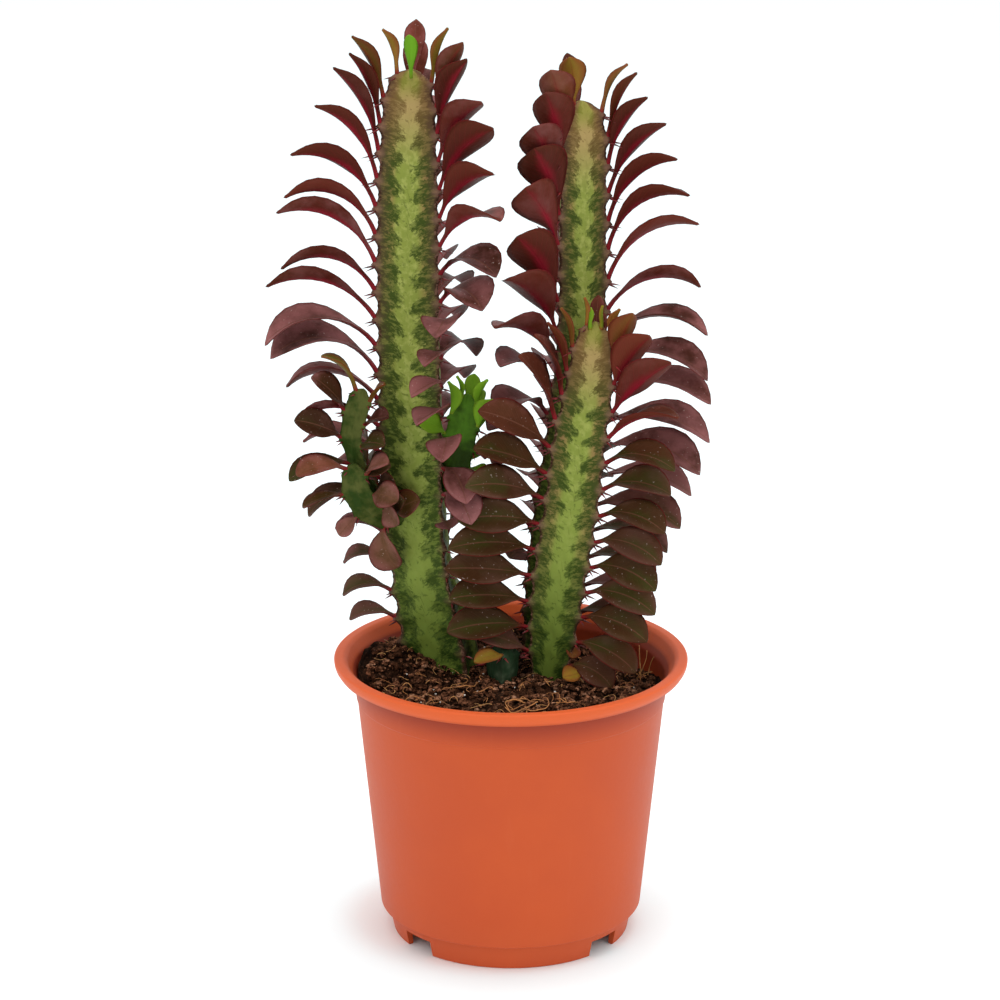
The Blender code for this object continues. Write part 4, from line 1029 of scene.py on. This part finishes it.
# the skins of a stem's leaves, each with its tones and its red
def grownLeaves(members, leaves):
    draws = np.random.RandomState(31)
    for member in members:
        look = leafTones[member]
        for root, tangent, outward, values, down, draw, rib in leaves[member]:
            values = [values[0], values[1] * look.get("broad", 1), *values[2:]]
            skin = leafSkin(root, tangent, outward, values, draw[2], look["powers"])
            chance = draws.uniform(-1, 1, 3)
            under = down * 1000
            if "bud" in look:
                young = look["bud"]
            else:
                young = np.exp(-(under / look["young"]) ** 1.5) * (0.75 + 0.15 * chance[0]) * (rib < 2)
            olive = smoothStep(under + 25 * chance[1], *look["olive"])
            mauve = look["mauve"] * (0.35 + 0.9 * smoothStep(under, 60, 170))
            mauve = np.clip(mauve + 0.35 * chance[2], 0, 1)
            yield skin, (young, olive, mauve), np.clip(look["red"] + 0.4 * chance[1] - 0.5 * olive, 0, 1)


# young leaves that stand on the stems' tips, and fallen ones on the soil: for each its root,
# heading and upper side, then length, width, rise, fall, sweep and roll, its tones and its red
loose = {
    "tallStemBuds": (((-46.0, 11, 414), (-0.15, -0.5, 0), (0, 0, 1), (21, 7.5, 86, 80, 0, 0),
                      (1.5, 0, 0), 0),),
    "frontStemBuds": (((37.2, 0, 298), (-0.8, -0.4, 0), (0, 0, 1), (11, 4.5, 80, 96, 0, 0), (1.3, 0, 0), 0),
                      ((41.6, 0, 298), (0.7, -0.5, 0), (0, 0, 1), (12, 5, 82, 88, 0, 20), (1.2, 0, 0), 0)),
    "fallenLeaves": (((36, -9, 131.4), (-0.85, -0.5, 0.05), (0.1, -0.6, 0.8), (13, 11, 8, -16, 0, 0),
                      (0.85, 0, 0), 1),
                     ((30.5, 3, 144), (-0.1, -0.8, -0.5), (0.2, -0.8, 0.6), (11, 8, 4, -10, 0, 0),
                      (0.25, 0, 0), 1)),
}


# single leaves that grow from no areole, by the same formula
def looseLeaves(name):
    for root, heading, up, size, tone, red in loose[name]:
        heading = unit(np.array(heading))
        up = unit(np.array(up) - heading * np.dot(up, heading))
        values = [size[0] / 1000, size[1] / 1000, *size[2:]]
        yield leafSkin(np.array(root) / 1000, up, heading, values, 0.3, (1.8, 0.75)), tone, red


def makeLeaves(name, found, material):
    skins, tones, reds = zip(*found)
    points, uvs, uppers = (np.concatenate(part) for part in zip(*skins))
    each, columns = len(points) // len(skins), 2 * len(leaf["columns"]) - 2
    numbers = {"upper": uppers, "leafTone": np.repeat(tones, each, axis=0), "red": np.repeat(reds, each)}
    faces = shellFaces(len(leaf["rows"]), columns, len(skins))
    makePiece(name, points, faces, material, "euphorbia", numbers, uvs)


spine = {"length": 0.0088, "radius": 0.0005, "spread": 0.42, "fade": 0.07, "fullReach": 0.014,
         "taper": (1.3, 1.2, 0.9, 0.45, 0.0), "least": 0.0018, "bow": 0.0006,
         "dark": (0.085, 0.007, 0.008), "red": (0.27, 0.018, 0.022)}


# spines: from each areole two short lines lean apart and bow a little down, drawn to a point; they
# are longest under the tip of a thick stem
def makeSpines(name, stems, members, material):
    lines = []
    way = np.linspace(0, 1, len(spine["taper"]))[:, None]
    for stem, rib in ((stems[member], rib) for member in members for rib in range(3)):
        for down in stem.areoles(rib):
            centre, tangent, _, _ = stem.at(down + 0.001)
            outward = stem.outward(down, rib)[0]
            across = np.cross(tangent[0], outward)
            reach = stem.ribRadius(down, rib)[0]
            long = spine["length"] * (0.4 + 0.6 * math.exp(-down / spine["fade"]))
            long = long * min(1, (reach / spine["fullReach"]) ** 1.5) + spine["least"]
            for side in (-1, 1):
                heading = unit(outward * 0.82 + across * side * spine["spread"] - tangent[0] * 0.12)
                root = centre[0] + outward * (reach - 0.0018) + across * side * 0.0005
                lines.append(root + heading * way * long - tangent[0] * spine["bow"] * way ** 2)
    radius = spine["radius"] * np.array(spine["taper"]) * np.ones((len(lines), 1))
    makeTubes(name, np.array(lines), radius, material, "euphorbia")


# a node's main stem and side shoots in one piece, each with its own number for the finish
def makeStemSkin(name, stems, members, material):
    points, faces, numbers = [], [], []
    first = 0
    for member in members:
        skin, quads, values = stemSkin(stems[member])
        points.append(skin)
        faces += [[corner + first for corner in face] for face in quads]
        first += len(skin)
        numbers.append({**values, "member": np.full(len(skin), stemTones[member])})
    joined = {key: np.concatenate([values[key] for values in numbers]) for key in numbers[0]}
    return makePiece(name, np.vstack(points), faces, material, "euphorbia", joined)


# each stem's number in the finish, then its colours: streaks are a face's pale middle, darks lie
# by the ribs, and crests are the ribs themselves, lighter on the tooth tips partly as painted highlight
stemTones = {"tall_stem": 0.0, "back_stem": 0.12, "front_stem": 0.25, "middle_shoot": 0.55,
             "upper_side_shoot": 0.75, "lower_side_shoot": 0.9, "soil_offshoot": 1.0}
stemLook = {
    "streak": (0.21, 0.245, 0.045), "pale": (0.36, 0.38, 0.10), "tipStreak": (0.36, 0.245, 0.095),
    "lowStreak": (0.22, 0.29, 0.052), "footStreak": (0.085, 0.135, 0.018), "tan": (0.26, 0.15, 0.060),
    "dark": (0.042, 0.062, 0.009), "tipDark": (0.15, 0.085, 0.028), "lowDark": (0.040, 0.066, 0.009),
    "footDark": (0.014, 0.034, 0.004), "ridge": (0.080, 0.034, 0.026), "tip": (0.20, 0.22, 0.03),
    "crest": (0.24, 0.115, 0.085), "crestDark": (0.045, 0.014, 0.011),
    "shoot": (0.022, 0.044, 0.005), "shootPale": (0.085, 0.095, 0.022), "shootFresh": (0.060, 0.145, 0.010),
    "offshoot": (0.018, 0.042, 0.018), "offshootPale": (0.095, 0.135, 0.080), "slant": 0.36, "gloss": 0.06,
}


# down the middle of each face runs a pale streak; from it feathers rise outwards to the ribs, with
# a dark blotch between them at each tooth, both made of strokes along the same slant; rib is 0 on
# a rib and 1 in a face's middle, down and high are distances from the tip and the foot
def stemFinish():
    finish = Finish("euphorbia stem", stemLook)
    mix, place = finish.mix, finish.place()
    rib, down, crest, high, member, tooth = (
        finish.number(name) for name in ("rib", "down", "crest", "high", "member", "tooth"))
    x, y, z = finish.parts(place)
    slant = tooth - stemLook["slant"] * rib

    def slanted(across, along, detail, roughness):
        return finish.noise(finish.vector(x * across, y * across, slant * along), 1.0, detail, roughness)

    patches = slanted(130, 2.2, 4, 0.72)
    strokes = slanted(240, 7, 4, 0.75)
    specks = slanted(420, 8, 2, 0.5)
    cloud = finish.noise(place, 60, 3, 0.5)
    mottle = finish.noise(place, 330, 3, 0.6)
    beads = finish.noise(place, 620, 2, 0.6)
    tip, low = down.fall(0.008, 0.045), high.fall(0.02, 0.17)
    band = z.math("SINE", (slant + 0.25) * math.tau)
    edge = 0.60 - 0.08 * low + (0.20 - 0.06 * low) * band + 2.0 * (patches - 0.5) + 1.1 * (strokes - 0.5)
    pale = ((rib - edge) * (1 - 0.45 * low)).rise(-0.10, 0.10)
    pale = pale + (1 - pale) * rib.rise(0.84, 0.97)
    streak = finish.over(
        "streak", (mottle.rise(0.42, 0.68) * 0.6, "pale"), (tip, "tipStreak"), (low * 0.9, "lowStreak"),
        (high.fall(0.01, 0.075, 0.8), "footStreak"),
        (rib.fall(0.2, 0.6) * down.fall(0.05, 0.18, 0.9), "tan"))
    dark = finish.over(
        "dark", (tip, "tipDark"), (low, "lowDark"), (high.fall(0.0, 0.06), "footDark"),
        (strokes.rise(0.46, 0.60) * 0.5, streak))
    shore = (rib + 0.7 * (strokes - 0.5)).fall(0.02, 0.30)
    brown = down.fall(0.08, 0.20, 0.6) * member.rise(0.2, 0.24, 1.0, 0.35)
    fresh = mix(member.rise(0.6, 0.7), "shootFresh", "shootPale")
    shoot = mix((cloud + 0.25 * (mottle - 0.5)).rise(0.44, 0.66), "shoot", fresh)
    stump = mix(cloud.rise(0.45, 0.65), "offshoot", "offshootPale")
    colour = finish.over(
        dark, (pale, streak), (specks.rise(0.60, 0.66) * 0.5, dark),
        (down.fall(0.002, 0.014, 0.7) * rib.rise(0.2, 0.6), "tip"), (shore * brown, "ridge"),
        (rib.fall(0.02, 0.09, 0.8), mix(beads.rise(0.50, 0.62), "crestDark", "crest")),
        # on the tooth tips the crest colour is the ribs' pink margin and partly painted highlight
        (crest.rise(0.4, 0.9) * down.rise(0.05, 0.2, 0.6, 0.25), "crest"), (member.rise(0.4, 0.5), shoot),
        (member.rise(0.93, 0.99), stump))
    relief = (0.5 * patches + 0.5 * strokes + 0.4 * cloud, 0.0004, 0.5)
    return finish.close(colour, 0.45 + 0.25 * cloud, relief, "gloss")


# colours above and below, of young leaves, and of the details
leafLook = {
    # the mauve colour above is the leaves' bloom and also painted sheen
    "top": (0.044, 0.013, 0.007), "mauveBloomAndSheen": (0.265, 0.100, 0.098), "topOlive": (0.050, 0.026, 0.008),
    "topGreen": (0.040, 0.046, 0.008), "topRed": (0.19, 0.036, 0.020), "under": (0.050, 0.0060, 0.0040),
    "underMid": (0.25, 0.010, 0.022), "underBrown": (0.082, 0.024, 0.010), "underRed": (0.19, 0.034, 0.020),
    "young": (0.19, 0.17, 0.014), "youngEdge": (0.24, 0.085, 0.015), "bud": (0.13, 0.31, 0.016),
    "gold": (0.42, 0.17, 0.026), "stalk": (0.24, 0.012, 0.020), "edge": (0.17, 0.012, 0.012),
    "speck": (0.48, 0.36, 0.32), "rib": (0.15, 0.055, 0.035), "gloss": 0.045,
}


# above, a leaf is brown with a mauve bloom, which is also painted sheen, and pale specks, red or, where it is
# old, olive; below it is maroon with a crimson band along the midrib; young ones are green with orange edges;
# middle is 0 on the midrib and 1 on the edges, along runs from the stalk to the tip
def leafFinish():
    finish = Finish("euphorbia leaf", leafLook)
    place = finish.place()
    across, along, _ = finish.parts(finish.node("ShaderNodeUVMap", {"uv_map": "leafUv"}))
    young, olive, mauve = finish.parts(finish.number("leafTone", "Vector"))
    upper, red = finish.number("upper").rise(0.3, 0.7), finish.number("red")
    middle = across.math("ABSOLUTE", across - 0.5) * 2
    cloud = finish.noise(place, 70, 4, 0.6)
    grain = finish.noise(place, 820, 2, 0.5)
    shade = finish.noise(place, 45, 3, 0.55)
    patch = cloud.rise(0.35, 0.68)
    wave = (along * 13 - middle * 3.2 + cloud) * math.tau
    veins = cloud.math("SINE", wave).rise(0.75, 1.0)
    midrib = middle.fall(0.015, 0.07)
    green = (shade - 0.25 * middle).rise(0.34, 0.56) * (olive - 0.5 * red).rise(0.05, 0.6)
    # painted sheen: a mauve bloom laid over the top side, strongest towards the edges and on mauve leaves
    bloomAndSheen = (cloud + 0.25 * middle + 0.35 * mauve).rise(0.64, 1.05)
    top = finish.over(
        "top", ((cloud + 0.45 * mauve).rise(0.48, 1.0), "mauveBloomAndSheen"), (red * (0.4 + 0.6 * patch), "topRed"),
        (olive * (0.6 + 0.4 * patch), "topOlive"), (green * 0.65, "topGreen"),
        (bloomAndSheen * (0.55 - 0.35 * olive), "mauveBloomAndSheen"), (midrib * 0.6 + veins * 0.06, "rib"),
        (grain.rise(0.68, 0.75) * 0.5, "speck"))
    glow = (middle + 0.5 * (cloud - 0.5) + 0.45 * along).fall(0.12, 0.7)
    tinge = (along + 0.5 * middle + 0.8 * (cloud - 0.5)).rise(0.5, 1.3)
    under = finish.over(
        "under", (glow, "underMid"), (tinge * 0.5 + olive * 0.4 * (1 - glow), "underBrown"),
        (red * 0.55 * (1 - glow), "underRed"), (mauve * 0.8 * (1 - glow) * patch, "mauveBloomAndSheen"),
        (veins * 0.08, "underMid"))
    bud = young.rise(1.1, 1.4)
    fresh = finish.over(
        "young", (red * (0.3 + 0.6 * patch), "gold"),
        ((middle + 0.5 * along).rise(0.6, 1.25), "youngEdge"), (midrib * red * 0.6, "youngEdge"),
        (bud, "bud"))
    colour = finish.over(
        under, (upper, top), (young.math("MINIMUM", young, 1.0), fresh),
        (middle.rise(0.91, 0.99) * 0.75 * young.fall(0.0, 1.0), "edge"),
        (along.fall(0.03, 0.2) * (0.85 - 0.6 * bud), "stalk"))
    relief = (0.5 * cloud - 0.25 * veins - 0.6 * midrib + 0.15 * grain, 0.0003, 0.5)
    return finish.close(colour, 0.40 + 0.2 * cloud - 0.08 * upper, relief, "gloss")


def spineFinish():
    finish = Finish("spines", spine)
    shade = finish.noise(finish.place(), 260, 2, 0.5)
    return finish.close(finish.mix(shade.rise(0.35, 0.7), "dark", "red"), 0.5)


makePot(plasticFinish())
print("pot turned")
makeSoil(soilFinish())
draw = np.random.RandomState(5)
spots = soilSpots(soil["clods"], draw)
least, most = soil["clodSize"]
sizes = least + (most - least) * draw.uniform(0, 1, len(spots)) ** 3
makeLumps("peatClods", spots + [0, 0, 0.0004], sizes, draw, clodFinish())
spots = soilSpots(soil["perlite"], draw)
sizes = draw.uniform(*soil["perliteSize"], len(spots))
makeLumps("perliteFlecks", spots + [0, 0, 0.0009], sizes, draw, perliteFinish(), 0.9)
draw, fibre = np.random.RandomState(23), fibreFinish()
makeFibres(draw, fibre)
makeRoots(draw, fibre)
print("soil, clods, perlite, fibres and roots made")

stems = {name: Stem(values, name in nodes) for name, values in {**mainStems, **shoots}.items()}
leaves = placeLeaves(stems)
print("leaves placed:", {name: len(found) for name, found in leaves.items()})
skin, blade, thorn = stemFinish(), leafFinish(), spineFinish()
for node, members in nodes.items():
    first, second = node.split("_")
    short = first + second.title()
    body = makeStemSkin(f"{short}Skin", stems, members, skin)
    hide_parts(node)
    makeLeaves(f"{short}Leaves", grownLeaves(members, leaves), blade)
    makeSpines(f"{short}Spines", stems, members, thorn)
for name in loose:
    makeLeaves(name, looseLeaves(name), blade)
print("stems, leaves and spines made")

# the floor glows a little away from the pot's foot, which keeps the shadow round it grey; glowFrom
# is the square of the distance
room = {"floorSize": 6.0, "floorColour": (0.93, 0.95, 0.95), "floorGlow": (0.04, 0.14, 0.155),
        "glowFrom": (0.0034, 0.0062), "skyColour": (1.0, 1.0, 1.0), "skyStrength": 1.0,
        "aim": (0, 0, 0.2)}
half = room["floorSize"] / 2
floorFinish = Finish("pale floor", room)
x, y, _ = floorFinish.parts(floorFinish.place())
away = (x * x + y * y).rise(*room["glowFrom"])
floorFinish.feed(floorFinish.shader.inputs["Emission Color"],
                 floorFinish.mix(away, (0.0, 0.0, 0.0), "floorGlow"))
floorFinish.feed(floorFinish.shader.inputs["Emission Strength"], 1.0)
corners = np.array([[-half, -half, 0], [half, -half, 0], [half, half, 0], [-half, half, 0]]) - [0, 0, 0.0001]
floor = makePiece("paleFloor", corners, [[0, 1, 2, 3]], floorFinish.close("floorColour", 0.9))

world = bpy.data.worlds.new("softRoom")
world.use_nodes = True
sky = world.node_tree.nodes["Background"].inputs
sky["Color"].default_value = (*room["skyColour"], 1)
sky["Strength"].default_value = room["skyStrength"]
bpy.context.scene.world = world

lamps = {
    "keyLamp": {"place": (-0.9, -1.3, 1.5), "size": 1.0, "watts": 4},
    "fillLamp": {"place": (1.2, -1.0, 0.9), "size": 1.2, "watts": 3},
    "topLamp": {"place": (0.1, 0.1, 1.7), "size": 1.0, "watts": 9},
}
for name, look in lamps.items():
    light = bpy.data.lights.new(name, "AREA")
    light.energy = look["watts"]
    light.size = look["size"]
    lamp = bpy.data.objects.new(name, light)
    bpy.context.scene.collection.objects.link(lamp)
    lamp.location = look["place"]
    lamp.rotation_euler = (Vector(room["aim"]) - lamp.location).to_track_quat("-Z", "Y").to_euler()

# in metres from the pot's axis at its foot, in degrees down from level, in millimetres
view = {"place": (-0.0052, -1.6, 0.7022), "down": 16.93, "lens": 127.4, "sensor": 36}
camera = bpy.data.objects.new("camera", bpy.data.cameras.new("camera"))
bpy.context.scene.collection.objects.link(camera)
camera.data.sensor_width = view["sensor"]
camera.data.lens = view["lens"]
camera.location = potAxis + view["place"]
camera.rotation_euler = (math.radians(90 - view["down"]), 0, 0)
bpy.context.scene.camera = camera

bpy.context.scene.view_settings.view_transform = "Standard"
